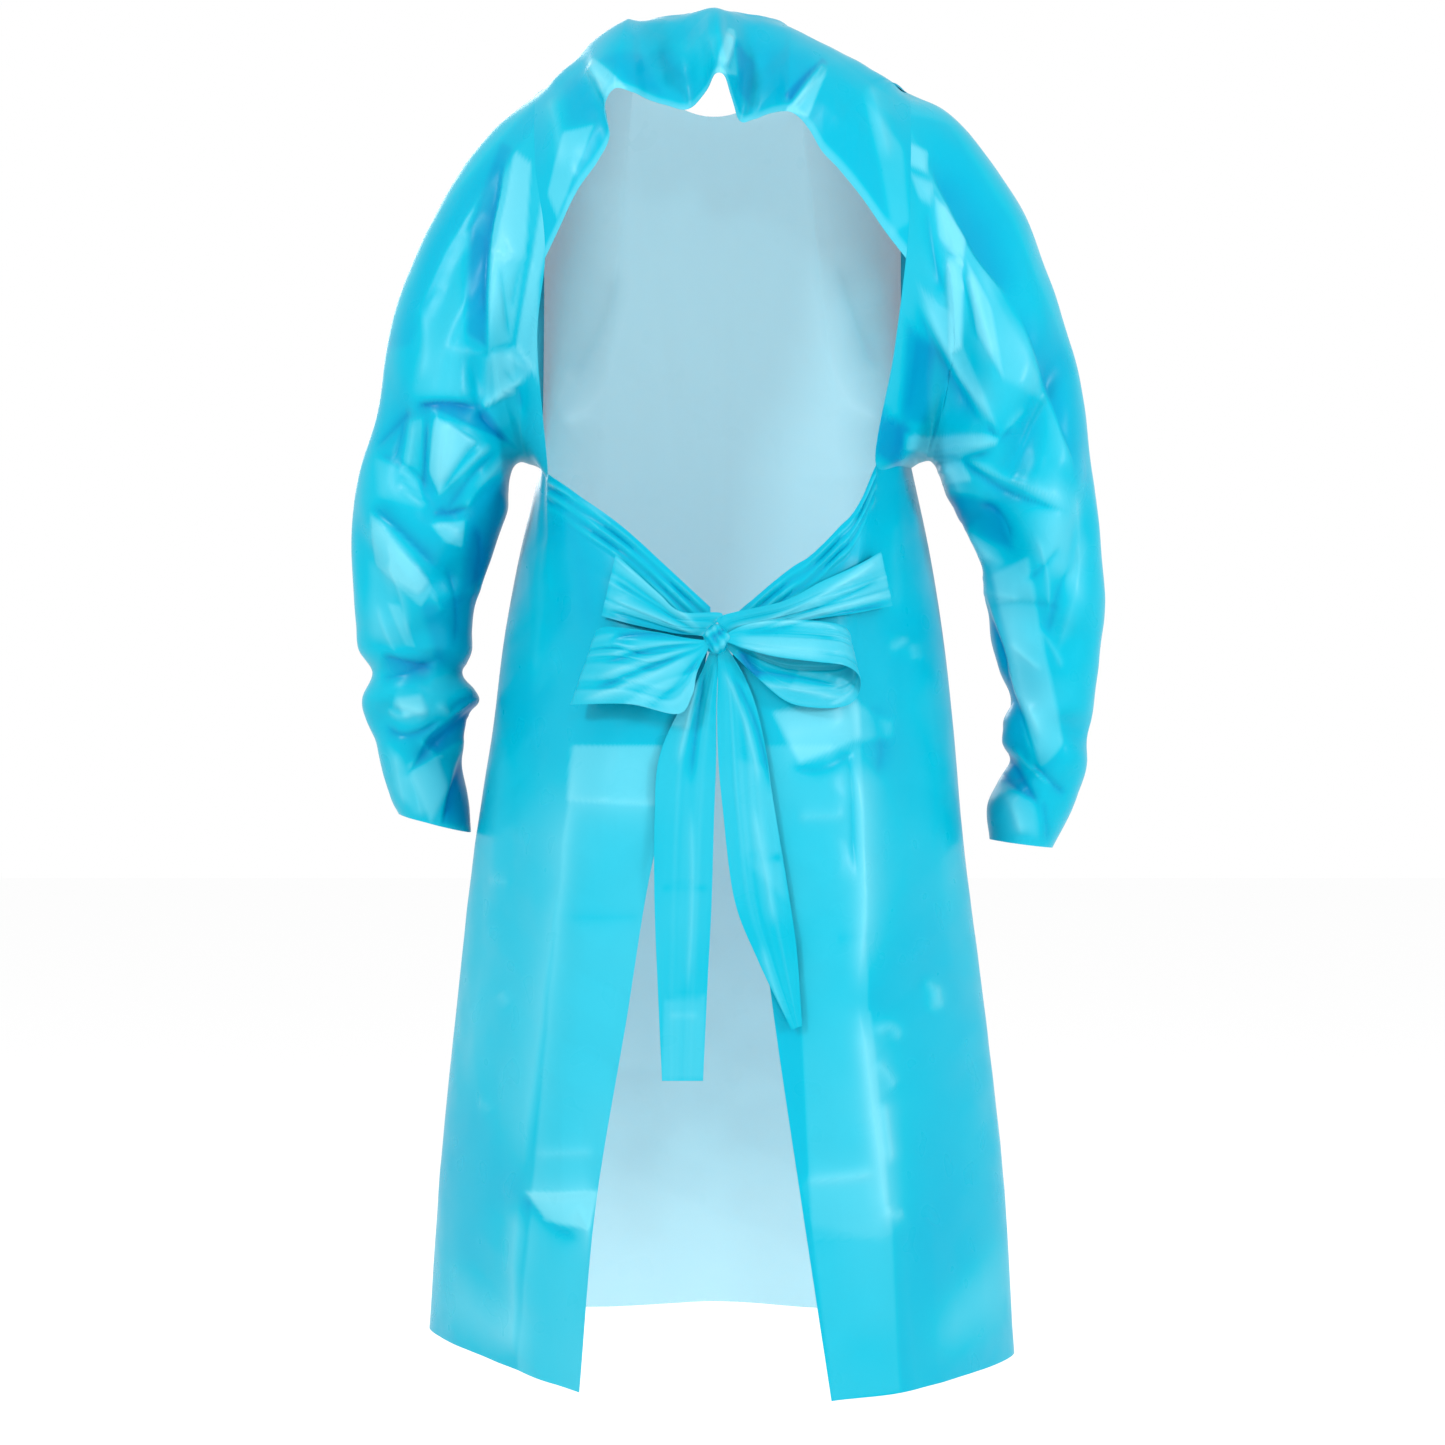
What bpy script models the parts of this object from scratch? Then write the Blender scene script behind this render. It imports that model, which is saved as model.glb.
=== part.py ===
# A procedure gown of thin plastic film, worn: open at the back, with a yoke behind the neck
# opening, long loose sleeves, and waist ties in a bow at the back.
# Metres, +Z up. The front faces -Y and the gown's own left is +X. The origin is the middle of the
# neck opening, where the gown is held. A "drop" is a distance below the origin.

import math

import bmesh
import bpy
import numpy as np

WALL = 0.002
SEAM_GAP = 0.0003
MITRE_LIMIT = 0.75
SHARP_ANGLE = 50.0

# Places round the body: 0 is the front middle, and the same places are below 0 on the right.
SIDE_SEAM = 2.0
BACK_EDGE = 4.0
BACK_START = 2.2
BACK_STEPS = 36
SLOPE_REACH = 0.010

UNDERARM_DROP = 0.376
NECK_MIDDLE_X = 0.0075
NECK_HALF_WIDTH = 0.0675
NECK_BACK_Y = 0.066
NECK_FRONT_Y = 0.090
NECK_SIDE_Z = 0.008
NECK_BACK_Z = 0.0105
NECK_FRONT_DIP = 0.058

BODY_COLUMNS = 16
SHOULDER_STEPS = 4
NECK_BACK_STEPS = 36
SEAM_COLUMNS = 3
EDGE_COLUMNS = 9
BAND_ROWS = 5
BAND_ROW = 0.006
BAND_RIDGE = 0.0014
SKIRT_ROWS = 9
SKIRT_ROW_GROWTH = 1.15
SEAM_FADE = 6
CHEST_BULGE = 6
CHEST_TURN = 1.2
YOKE_BULGE = 2
YOKE_TURN = 1.5
YOKE_EASE = 0.8
FLUTE_DEPTH = 0.006
FLUTE_TOP_DROP = 0.55
FLUTE_FULL_DROP = 1.15
FLUTE_GROWTH = 1.3

# Degrees round a sleeve from its outer line, over the back, to its inner line. The yoke ends and
# the back panel starts at two of them, and the edge between those two is free.
BACK_ANGLES = (0.0, 17.5, 35.0, 52.5, 70.0, 87.5, 105.0, 120.0, 135.0, 150.0, 160.0, 170.0, 180.0)
FRONT_ANGLES = (195.0, 210.0, 225.0, 240.0, 255.0, 270.0, 285.0, 300.0, 315.0, 330.0, 345.0)
ANGLES = BACK_ANGLES + FRONT_ANGLES
YOKE_END = BACK_ANGLES.index(105.0)
PANEL_START = BACK_ANGLES.index(150.0)
SLEEVE_TURN = BACK_ANGLES.index(180.0)

FILM = (0.0, 0.55, 0.78, 1.0)
FILM_DEEP = (0.0, 0.47, 0.72, 1.0)
FILM_ROUGHNESS = 0.32


def table(columns, *rows):
    # One array for each named column.
    names = columns.split()
    return {name: np.array(values, float) for name, values in zip(names, zip(*rows))}


FRONT = table(
    "drop centre_y corner_x corner_y",
    (0.376, -0.128, 0.115, -0.100),
    (0.450, -0.135, 0.125, -0.106),
    (0.530, -0.142, 0.135, -0.112),
    (0.600, -0.150, 0.142, -0.117),
    (0.700, -0.158, 0.152, -0.124),
    (0.850, -0.172, 0.165, -0.137),
    (1.000, -0.190, 0.178, -0.152),
    (1.160, -0.216, 0.191, -0.168),
)

# Half of a body section from its side to the back edge. The crease is the fold where the panel
# turns from the side to the back.
LEFT = table(
    "drop side_x side_y crease_x crease_y edge_x edge_y",
    (0.376, 0.160, 0.000, 0.134, 0.095, 0.004, 0.125),
    (0.450, 0.178, -0.004, 0.124, 0.112, 0.004, 0.142),
    (0.530, 0.193, -0.009, 0.108, 0.131, 0.005, 0.153),
    (0.600, 0.202, -0.014, 0.108, 0.140, 0.022, 0.158),
    (0.700, 0.218, -0.022, 0.130, 0.144, 0.051, 0.163),
    (0.850, 0.236, -0.033, 0.150, 0.140, 0.078, 0.166),
    (1.000, 0.252, -0.046, 0.164, 0.130, 0.104, 0.169),
    (1.160, 0.264, -0.060, 0.174, 0.116, 0.119, 0.173),
)
RIGHT = table(
    "drop side_x side_y crease_x crease_y edge_x edge_y",
    (0.376, 0.166, 0.000, 0.134, 0.095, 0.004, 0.125),
    (0.450, 0.182, -0.002, 0.124, 0.112, 0.004, 0.142),
    (0.530, 0.195, -0.005, 0.108, 0.131, 0.005, 0.153),
    (0.600, 0.203, -0.008, 0.106, 0.142, 0.008, 0.158),
    (0.700, 0.212, -0.011, 0.116, 0.150, 0.022, 0.165),
    (0.850, 0.231, -0.013, 0.130, 0.155, 0.042, 0.172),
    (1.000, 0.248, -0.016, 0.144, 0.151, 0.065, 0.179),
    (1.160, 0.258, -0.020, 0.166, 0.141, 0.090, 0.188),
)

# The hem's drop by place round the body. The crease is at 3.
HEM = table(
    "around drop",
    (-4.0, 1.157),
    (-3.0, 1.156),
    (-2.0, 1.156),
    (-1.0, 1.152),
    (0.0, 1.150),
    (1.0, 1.147),
    (2.0, 1.142),
    (3.0, 1.146),
    (4.0, 1.153),
)

# The free upper edges of the back panels, from the underarm seam to the knot.
LEFT_TOP = table(
    "share x drop",
    (0.00, 0.1505, 0.386),
    (0.20, 0.1214, 0.408),
    (0.40, 0.0907, 0.430),
    (0.75, 0.0389, 0.477),
    (1.00, 0.0100, 0.504),
)
RIGHT_TOP = table(
    "share x drop",
    (0.00, 0.1310, 0.381),
    (0.15, 0.1154, 0.415),
    (0.35, 0.0977, 0.436),
    (0.55, 0.0726, 0.461),
    (0.68, 0.0583, 0.470),
    (1.00, 0.0080, 0.512),
)

# The armhole, by the angles above. From 105 to 150 degrees it is the sleeve's free back edge.
LEFT_ARMHOLE = table(
    "angle x y z",
    (0, 0.162, 0.000, -0.046),
    (35, 0.162, 0.052, -0.068),
    (70, 0.159, 0.093, -0.128),
    (105, 0.150, 0.112, -0.208),
    (127, 0.157, 0.105, -0.278),
    (150, 0.1505, 0.062, -0.386),
    (165, 0.157, 0.032, -0.380),
    (180, 0.160, 0.000, -0.376),
    (225, 0.162, -0.068, -0.330),
    (270, 0.162, -0.092, -0.205),
    (315, 0.162, -0.062, -0.092),
    (360, 0.162, 0.000, -0.046),
)
RIGHT_ARMHOLE = table(
    "angle x y z",
    (0, 0.162, 0.000, -0.046),
    (35, 0.162, 0.052, -0.068),
    (70, 0.160, 0.093, -0.128),
    (105, 0.155, 0.112, -0.208),
    (127, 0.145, 0.108, -0.288),
    (150, 0.131, 0.087, -0.381),
    (165, 0.153, 0.045, -0.378),
    (180, 0.166, 0.000, -0.376),
    (225, 0.164, -0.068, -0.330),
    (270, 0.162, -0.092, -0.205),
    (315, 0.162, -0.062, -0.092),
    (360, 0.162, 0.000, -0.046),
)
ARMHOLE_HALF_HEIGHT = 0.165
ARMHOLE_HALF_DEPTH = 0.092
ARMHOLE_LEAN_TOP = 0.45
ARMHOLE_LEAN_UNDER = 1.0

# Each sleeve is two solids that end face to face at one ring near the elbow, and the front is two
# that end at the underarms. Here the rings are counted from the armhole.
SLEEVE_SPLIT = 7

# The sleeves' rings below the armhole, down to the cuff, each from its outer to its inner line.
LEFT_SLEEVE = table(
    "outer_x outer_drop inner_x inner_drop middle_y half_depth",
    (0.1976, 0.0777, 0.1690, 0.3725, 0.003, 0.090),
    (0.2257, 0.1120, 0.1773, 0.3708, 0.006, 0.088),
    (0.2512, 0.1560, 0.1835, 0.3755, 0.009, 0.085),
    (0.2670, 0.1900, 0.1865, 0.3860, 0.012, 0.082),
    (0.2830, 0.2317, 0.1875, 0.4000, 0.015, 0.078),
    (0.2952, 0.2784, 0.1880, 0.4139, 0.018, 0.074),
    (0.3049, 0.3350, 0.1932, 0.4324, 0.020, 0.069),
    (0.3165, 0.3780, 0.2011, 0.4605, 0.018, 0.064),
    (0.3240, 0.4150, 0.2090, 0.4816, 0.015, 0.060),
    (0.3252, 0.4456, 0.2165, 0.4985, 0.012, 0.058),
    (0.3234, 0.4843, 0.2200, 0.5177, 0.006, 0.055),
    (0.3225, 0.5120, 0.2204, 0.5353, 0.000, 0.052),
    (0.3208, 0.5353, 0.2240, 0.5480, -0.004, 0.049),
    (0.3084, 0.5560, 0.2266, 0.5590, -0.008, 0.042),
    (0.3190, 0.5793, 0.2134, 0.5793, -0.012, 0.049),
    (0.3130, 0.6040, 0.2222, 0.5980, -0.015, 0.044),
    (0.3058, 0.6240, 0.2270, 0.6160, -0.018, 0.045),
    (0.3005, 0.6460, 0.2285, 0.6360, -0.020, 0.042),
    (0.2935, 0.6670, 0.2255, 0.6620, -0.022, 0.041),
    (0.2864, 0.6805, 0.2235, 0.6972, -0.024, 0.040),
)
RIGHT_SLEEVE = table(
    "outer_x outer_drop inner_x inner_drop middle_y half_depth",
    (0.1930, 0.0620, 0.1740, 0.3710, 0.003, 0.090),
    (0.2178, 0.0865, 0.1826, 0.3699, 0.006, 0.088),
    (0.2433, 0.1217, 0.1880, 0.3760, 0.009, 0.086),
    (0.2653, 0.1587, 0.1915, 0.3850, 0.012, 0.083),
    (0.2803, 0.2000, 0.1940, 0.3950, 0.015, 0.079),
    (0.2961, 0.2405, 0.1975, 0.4070, 0.018, 0.075),
    (0.3093, 0.2784, 0.2046, 0.4230, 0.020, 0.070),
    (0.3155, 0.3197, 0.2160, 0.4400, 0.019, 0.067),
    (0.3225, 0.3725, 0.2270, 0.4680, 0.017, 0.063),
    (0.3287, 0.4148, 0.2310, 0.4890, 0.013, 0.060),
    (0.3322, 0.4561, 0.2345, 0.5080, 0.008, 0.057),
    (0.3366, 0.4957, 0.2365, 0.5320, 0.003, 0.054),
    (0.3340, 0.5292, 0.2416, 0.5547, -0.002, 0.050),
    (0.3287, 0.5640, 0.2530, 0.5790, -0.007, 0.044),
    (0.3262, 0.5900, 0.2470, 0.6000, -0.011, 0.047),
    (0.3243, 0.6110, 0.2460, 0.6170, -0.014, 0.043),
    (0.3225, 0.6330, 0.2530, 0.6340, -0.017, 0.044),
    (0.3180, 0.6530, 0.2440, 0.6510, -0.020, 0.041),
    (0.3080, 0.6800, 0.2350, 0.6740, -0.022, 0.041),
    (0.2917, 0.7104, 0.2380, 0.7034, -0.024, 0.038),
)

# The largest folds of each sleeve, as soft troughs: the ring and angle of the middle, how far
# each reaches along in rings and round in degrees, its slant in rings for each degree, and depth.
SLEEVE_FOLDS = table(
    "ring angle along around slant depth",
    (2.5, 115, 1.8, 22, -0.020, 0.014),
    (3.0, 62, 2.2, 16, 0.010, 0.010),
    (7.2, 80, 0.8, 52, 0.008, 0.016),
    (9.0, 135, 1.0, 32, -0.030, 0.010),
    (10.5, 55, 1.0, 36, 0.025, 0.010),
    (11.8, 110, 0.8, 36, -0.020, 0.007),
    (13.0, 100, 0.7, 60, 0.006, 0.007),
    (15.6, 60, 0.7, 50, -0.012, 0.007),
    (17.4, 120, 0.7, 50, 0.012, 0.006),
    (3.5, 250, 1.8, 24, 0.020, 0.013),
    (7.4, 290, 0.8, 50, -0.006, 0.014),
    (10.0, 230, 1.0, 36, 0.025, 0.010),
    (13.2, 270, 0.8, 55, -0.008, 0.007),
    (16.4, 250, 0.7, 50, 0.012, 0.006),
)

# The yoke's lower edge from left to right: low lobes lie near the back and three flutes stand out.
YOKE_EDGE = table(
    "share x y z",
    (0.000, 0.1500, 0.112, -0.208),
    (0.050, 0.1368, 0.118, -0.182),
    (0.100, 0.1225, 0.122, -0.153),
    (0.150, 0.1050, 0.124, -0.128),
    (0.190, 0.0950, 0.126, -0.107),
    (0.225, 0.0990, 0.133, -0.084),
    (0.260, 0.0905, 0.143, -0.071),
    (0.300, 0.0755, 0.141, -0.0735),
    (0.340, 0.0630, 0.132, -0.0775),
    (0.380, 0.0492, 0.125, -0.081),
    (0.440, 0.0240, 0.121, -0.081),
    (0.465, 0.0135, 0.131, -0.070),
    (0.490, 0.0060, 0.146, -0.059),
    (0.505, 0.0000, 0.150, -0.060),
    (0.525, -0.0065, 0.138, -0.072),
    (0.550, -0.0130, 0.122, -0.0915),
    (0.590, -0.0274, 0.120, -0.092),
    (0.630, -0.0424, 0.127, -0.0885),
    (0.665, -0.0548, 0.136, -0.0885),
    (0.700, -0.0640, 0.135, -0.093),
    (0.740, -0.0733, 0.128, -0.103),
    (0.780, -0.0822, 0.124, -0.1175),
    (0.840, -0.0989, 0.121, -0.1355),
    (0.900, -0.1191, 0.118, -0.160),
    (0.950, -0.1368, 0.115, -0.185),
    (1.000, -0.1550, 0.112, -0.208),
)
YOKE_SHOULDER_SHARE = 0.15

KNOT = (0.0050, 0.1660, -0.5310)
KNOT_RADII = (0.0105, 0.0095, 0.0125)
KNOT_CLEAR = 0.0004
KNOT_RIDGES = 5
KNOT_RIDGE = 0.0010
KNOT_RINGS = 8
KNOT_SIDES = 20

# How far each strip's end at the knot lies off the knot's middle, and half its width there.
TIE_END_Y = -0.0010
LEFT_TAIL_END_Y = -0.0030
RIGHT_TAIL_END_Y = -0.0020
LEFT_LOOP_END_Y = (0.0045, -0.0010)
RIGHT_LOOP_END_Y = (0.0050, -0.0005)
TIE_END_HALF_WIDTH = 0.0035
TAIL_END_HALF_WIDTH = 0.0028

# A strip that lies over the back panels: its two long edges, how far the strip's middle stands off
# the panel's, and the depth of its pleats. The row at the knot is moved to the knot's side.
LEFT_TIE = table(
    "upper_x upper_z lower_x lower_z off pleat",
    (0.0880, -0.4590, 0.0985, -0.5110, 0.0052, 0.0018),
    (0.0700, -0.4760, 0.0790, -0.5170, 0.0056, 0.0024),
    (0.0520, -0.4930, 0.0580, -0.5220, 0.0060, 0.0024),
    (0.0340, -0.5080, 0.0380, -0.5260, 0.0078, 0.0018),
    (0.0220, -0.5170, 0.0240, -0.5290, 0.0100, 0.0008),
    (0.0150, -0.5220, 0.0150, -0.5290, 0.0110, 0.0),
)
RIGHT_TIE = table(
    "upper_x upper_z lower_x lower_z off pleat",
    (-0.1300, -0.4560, -0.1400, -0.5010, 0.0056, 0.0018),
    (-0.1080, -0.4690, -0.1100, -0.5080, 0.0062, 0.0026),
    (-0.0800, -0.4830, -0.0800, -0.5130, 0.0062, 0.0026),
    (-0.0500, -0.4990, -0.0500, -0.5180, 0.0080, 0.0020),
    (-0.0250, -0.5120, -0.0240, -0.5240, 0.0100, 0.0008),
    (-0.0100, -0.5200, -0.0100, -0.5270, 0.0110, 0.0),
)
LEFT_TAIL = table(
    "upper_x upper_z lower_x lower_z off pleat",
    (0.0090, -0.5450, 0.0030, -0.5450, 0.0060, 0.0),
    (0.0190, -0.5620, 0.0040, -0.5640, 0.0048, 0.0006),
    (0.0360, -0.5900, 0.0060, -0.5920, 0.0046, 0.0012),
    (0.0530, -0.6300, 0.0060, -0.6300, 0.0046, 0.0010),
    (0.0560, -0.6800, 0.0070, -0.6800, 0.0046, 0.0008),
    (0.0560, -0.7500, 0.0090, -0.7500, 0.0046, 0.0006),
    (0.0535, -0.8200, 0.0125, -0.8200, 0.0046, 0.0005),
    (0.0500, -0.8960, 0.0160, -0.8960, 0.0046, 0.0005),
)
RIGHT_TAIL = table(
    "upper_x upper_z lower_x lower_z off pleat",
    (0.0010, -0.5450, -0.0050, -0.5440, 0.0060, 0.0),
    (0.0030, -0.5640, -0.0170, -0.5600, 0.0050, 0.0006),
    (0.0032, -0.5900, -0.0280, -0.5870, 0.0050, 0.0012),
    (0.0025, -0.6300, -0.0365, -0.6240, 0.0056, 0.0012),
    (0.0000, -0.6700, -0.0420, -0.6620, 0.0060, 0.0012),
    (-0.0095, -0.7450, -0.0550, -0.7400, 0.0060, 0.0010),
    (-0.0290, -0.7960, -0.0620, -0.7900, 0.0060, 0.0008),
    (-0.0570, -0.8530, -0.0660, -0.8500, 0.0060, 0.0004),
)

# A loop of the bow: its outer layer out from the knot, the fold, and the layer next to the panel
# back to the knot. Each long edge has its own distance off the panel below it.
LEFT_LOOP = table(
    "upper_x upper_z upper_off lower_x lower_z lower_off pleat",
    (0.0150, -0.5330, 0.0150, 0.0130, -0.5400, 0.0150, 0.0),
    (0.0300, -0.5300, 0.0190, 0.0190, -0.5580, 0.0180, 0.0014),
    (0.0500, -0.5260, 0.0220, 0.0235, -0.5780, 0.0210, 0.0026),
    (0.0720, -0.5225, 0.0220, 0.0370, -0.5930, 0.0220, 0.0034),
    (0.0890, -0.5205, 0.0180, 0.0720, -0.5850, 0.0240, 0.0036),
    (0.0980, -0.5230, 0.0135, 0.1040, -0.5850, 0.0215, 0.0020),
    (0.1005, -0.5270, 0.0090, 0.1130, -0.5850, 0.0190, 0.0006),
    (0.0960, -0.5310, 0.0050, 0.1090, -0.5825, 0.0072, 0.0006),
    (0.0790, -0.5320, 0.0046, 0.0850, -0.5770, 0.0060, 0.0018),
    (0.0550, -0.5330, 0.0060, 0.0560, -0.5690, 0.0070, 0.0020),
    (0.0300, -0.5340, 0.0090, 0.0300, -0.5540, 0.0100, 0.0010),
    (0.0150, -0.5350, 0.0110, 0.0150, -0.5410, 0.0110, 0.0),
)
RIGHT_LOOP = table(
    "upper_x upper_z upper_off lower_x lower_z lower_off pleat",
    (-0.0060, -0.5260, 0.0160, -0.0060, -0.5330, 0.0160, 0.0),
    (-0.0200, -0.5180, 0.0200, -0.0200, -0.5400, 0.0210, 0.0010),
    (-0.0450, -0.5150, 0.0240, -0.0450, -0.5460, 0.0270, 0.0016),
    (-0.0730, -0.5160, 0.0250, -0.0720, -0.5500, 0.0290, 0.0020),
    (-0.0900, -0.5190, 0.0210, -0.0900, -0.5530, 0.0270, 0.0020),
    (-0.0990, -0.5250, 0.0130, -0.1020, -0.5620, 0.0200, 0.0014),
    (-0.0990, -0.5330, 0.0070, -0.1060, -0.5760, 0.0120, 0.0012),
    (-0.0930, -0.5380, 0.0060, -0.0980, -0.5860, 0.0090, 0.0016),
    (-0.0770, -0.5400, 0.0062, -0.0780, -0.5880, 0.0090, 0.0020),
    (-0.0520, -0.5400, 0.0075, -0.0540, -0.5830, 0.0100, 0.0018),
    (-0.0260, -0.5360, 0.0100, -0.0300, -0.5640, 0.0110, 0.0010),
    (-0.0080, -0.5330, 0.0110, -0.0090, -0.5400, 0.0110, 0.0),
)
TIE_PLEATS = 3
LOOP_PLEATS = 6
TAIL_PLEATS = 2


def smooth(knots, values, at):
    # Values at places along a smooth curve through the knots.
    slopes = np.gradient(values, knots)
    at = np.clip(at, knots[0], knots[-1])
    index = np.clip(np.searchsorted(knots, at) - 1, 0, len(knots) - 2)
    return hermite(values, slopes, knots, index, at)


def hermite(values, slopes, knots, index, at):
    # The cubic curve through two neighbouring knots with the slopes given there.
    step = knots[index + 1] - knots[index]
    t = (at - knots[index]) / step
    rest = 1.0 - t
    start = (1.0 + 2.0 * t) * rest * rest * values[index] + t * rest * rest * step * slopes[index]
    end = t * t * (3.0 - 2.0 * t) * values[index + 1] - t * t * rest * step * slopes[index + 1]
    return start + end


def unit(vectors):
    return vectors / np.linalg.norm(vectors, axis=-1, keepdims=True)


def body_point(around, drop):
    # A point of the body's section at a place round it.
    side = LEFT if around >= 0.0 else RIGHT
    mirror = 1.0 if around >= 0.0 else -1.0
    front = {name: float(smooth(FRONT["drop"], FRONT[name], drop)) for name in FRONT}
    half = {name: float(smooth(side["drop"], side[name], drop)) for name in side}
    corner = (front["corner_x"], front["corner_y"])
    crease = (half["crease_x"], half["crease_y"])
    knots = np.arange(5.0)
    x = np.array([0.0, corner[0], half["side_x"], crease[0], half["edge_x"]])
    y = np.array([front["centre_y"], corner[1], half["side_y"], crease[1], half["edge_y"]])
    x_slope = np.array([
        corner[0],
        half["side_x"] / 2.0,
        0.0,
        (half["edge_x"] - half["side_x"]) / 2.0,
        half["edge_x"] - crease[0],
    ])
    y_slope = np.array([
        0.0,
        (half["side_y"] - front["centre_y"]) / 2.0,
        math.dist(corner, crease) / 2.0,
        (half["edge_y"] - half["side_y"]) / 2.0,
        half["edge_y"] - crease[1],
    ])
    place = abs(around)
    index = min(int(place), 3)
    return np.array([
        mirror * float(hermite(x, x_slope, knots, index, place)),
        float(hermite(y, y_slope, knots, index, place)),
        -drop,
    ])


def back_section(mirror, drop):
    # Places round one back panel at this drop, from its side to its edge, and their points.
    places = np.linspace(BACK_START, BACK_EDGE, BACK_STEPS + 1)
    return places, np.array([body_point(mirror * place, drop) for place in places])


def back_place(mirror, x, drop):
    # How far round the back panel lies at this distance from the middle.
    places, points = back_section(mirror, drop)
    return float(np.interp(x, mirror * points[::-1, 0], places[::-1]))


def over_panel(x, z, off):
    # The point over a back panel's middle at this x and z, moved out square to it. Between the
    # two panels' edges it stays level with the edge.
    mirror = 1.0 if x >= 0.0 else -1.0
    points = back_section(mirror, -z)[1]
    reach, y = mirror * points[::-1, 0], points[::-1, 1]
    here = float(np.interp(abs(x), reach, y))
    near = float(np.interp(abs(x) - SLOPE_REACH, reach, y))
    far = float(np.interp(abs(x) + SLOPE_REACH, reach, y))
    out = unit(np.array([mirror * (near - far), 2.0 * SLOPE_REACH]))
    return np.array([x + out[0] * off, here + out[1] * off, z])


def armhole(side):
    # The armhole's points at each angle, and the way out of the cloth there, which the sleeve and
    # the body's pieces share so that their walls end face to face.
    rows, mirror = (LEFT_ARMHOLE, 1.0) if side == "left" else (RIGHT_ARMHOLE, -1.0)
    angles = np.array(ANGLES + (360.0,))
    points = np.stack([smooth(rows["angle"], rows[axis], angles) for axis in "xyz"], axis=1)
    turn = np.radians(angles)
    round_it = unit(np.stack([
        np.zeros_like(turn),
        np.sin(turn) / ARMHOLE_HALF_DEPTH,
        np.cos(turn) / ARMHOLE_HALF_HEIGHT,
    ], axis=1))
    lower = ((1.0 - np.cos(turn)) / 2.0) ** 2
    round_it[:, 0] = ARMHOLE_LEAN_TOP + (ARMHOLE_LEAN_UNDER - ARMHOLE_LEAN_TOP) * lower
    points[:, 0] *= mirror
    round_it[:, 0] *= mirror
    return points, unit(round_it)


def neck_point(turn, front):
    # A point of the neck opening: turn goes from 0 at the left to pi at the right.
    depth = -NECK_FRONT_Y if front else NECK_BACK_Y
    rise = -NECK_FRONT_DIP if front else NECK_BACK_Z - NECK_SIDE_Z
    return np.array([
        NECK_MIDDLE_X + NECK_HALF_WIDTH * math.cos(turn),
        depth * math.sin(turn),
        NECK_SIDE_Z + rise * math.sin(turn),
    ])


def top_line(front, neck_steps):
    # The shoulder line, the neck opening and the other shoulder line, from left to right, and the
    # way out of the cloth on the two shoulder lines.
    left, right = armhole("left")[0][0], armhole("right")[0][0]
    neck = [neck_point(math.pi * i / neck_steps, front) for i in range(neck_steps + 1)]
    first = [left + (neck[0] - left) * i / SHOULDER_STEPS for i in range(SHOULDER_STEPS)]
    last = [right + (neck[-1] - right) * i / SHOULDER_STEPS for i in range(SHOULDER_STEPS)]
    outward = []
    for end, inner in ((left, neck[0]), (right, neck[-1])):
        slope = (inner - end) * math.copysign(1.0, end[0])
        outward.append(unit(np.array([slope[2], 0.0, -slope[0]])))
    return np.array(first + neck + last[::-1]), outward


def patch(top, bottom, first, last, bulge, turn, ease):
    # Cloth filled in between four edges. Top and bottom run across, first and last run down.
    # The ends' curves fade towards the middle by bulge. From top to bottom y follows a sine up to
    # the angle turn, raised to the power ease.
    across = np.linspace(0.0, 1.0, len(top))[None, :, None]
    down = np.linspace(0.0, 1.0, len(first))[:, None, None]
    eased = np.concatenate([down, (np.sin(down * turn) / math.sin(turn)) ** ease, down], axis=2)
    filled = (1.0 - eased) * top[None] + eased * bottom[None]
    first_bow = first[:, None] - ((1.0 - eased) * top[0] + eased * bottom[0])
    last_bow = last[:, None] - ((1.0 - eased) * top[-1] + eased * bottom[-1])
    return filled + (1.0 - across) ** bulge * first_bow + across ** bulge * last_bow


def facing(points, wraps=False):
    # The way out of the cloth at each point of a grid.
    down = np.gradient(points, axis=0)
    across = np.gradient(points, axis=1)
    if wraps:
        across = (np.roll(points, -1, axis=1) - np.roll(points, 1, axis=1)) / 2.0
    return unit(np.cross(across, down))


def drawn_in(points, wraps=False):
    # The same grid with each border moved in by half of a seam's gap.
    moved = points.copy()
    step = SEAM_GAP / 2.0
    moved[0] += unit(points[1] - points[0]) * step
    moved[-1] += unit(points[-2] - points[-1]) * step
    if not wraps:
        moved[:, 0] += unit(points[:, 1] - points[:, 0]) * step
        moved[:, -1] += unit(points[:, -2] - points[:, -1]) * step
    return moved


def mitred(shared, normals):
    # A shared way out, lengthened so that the wall keeps its thickness across the seam.
    along = np.sum(shared * normals, axis=-1, keepdims=True)
    return shared / np.clip(along, MITRE_LIMIT, 1.0)


def material_for(name, colour):
    made = bpy.data.materials.new(name)
    made.use_nodes = True
    finish = made.node_tree.nodes["Principled BSDF"]
    finish.inputs["Base Color"].default_value = colour
    finish.inputs["Roughness"].default_value = FILM_ROUGHNESS
    finish.inputs["Metallic"].default_value = 0.0
    made.diffuse_color = colour
    return made


def add_object(name, verts, faces, colour=FILM):
    mesh = bpy.data.meshes.new(name)
    mesh.from_pydata([tuple(v) for v in verts], [], faces)
    shape = bmesh.new()
    shape.from_mesh(mesh)
    bmesh.ops.recalc_face_normals(shape, faces=shape.faces)
    bmesh.ops.triangulate(shape, faces=shape.faces)
    shape.to_mesh(mesh)
    shape.free()
    mesh.materials.append(material_for(name + "_film", colour))
    mesh.shade_smooth()
    mesh.set_sharp_from_angle(angle=math.radians(SHARP_ANGLE))
    made = bpy.data.objects.new(name, mesh)
    bpy.context.scene.collection.objects.link(made)
    return made


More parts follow.
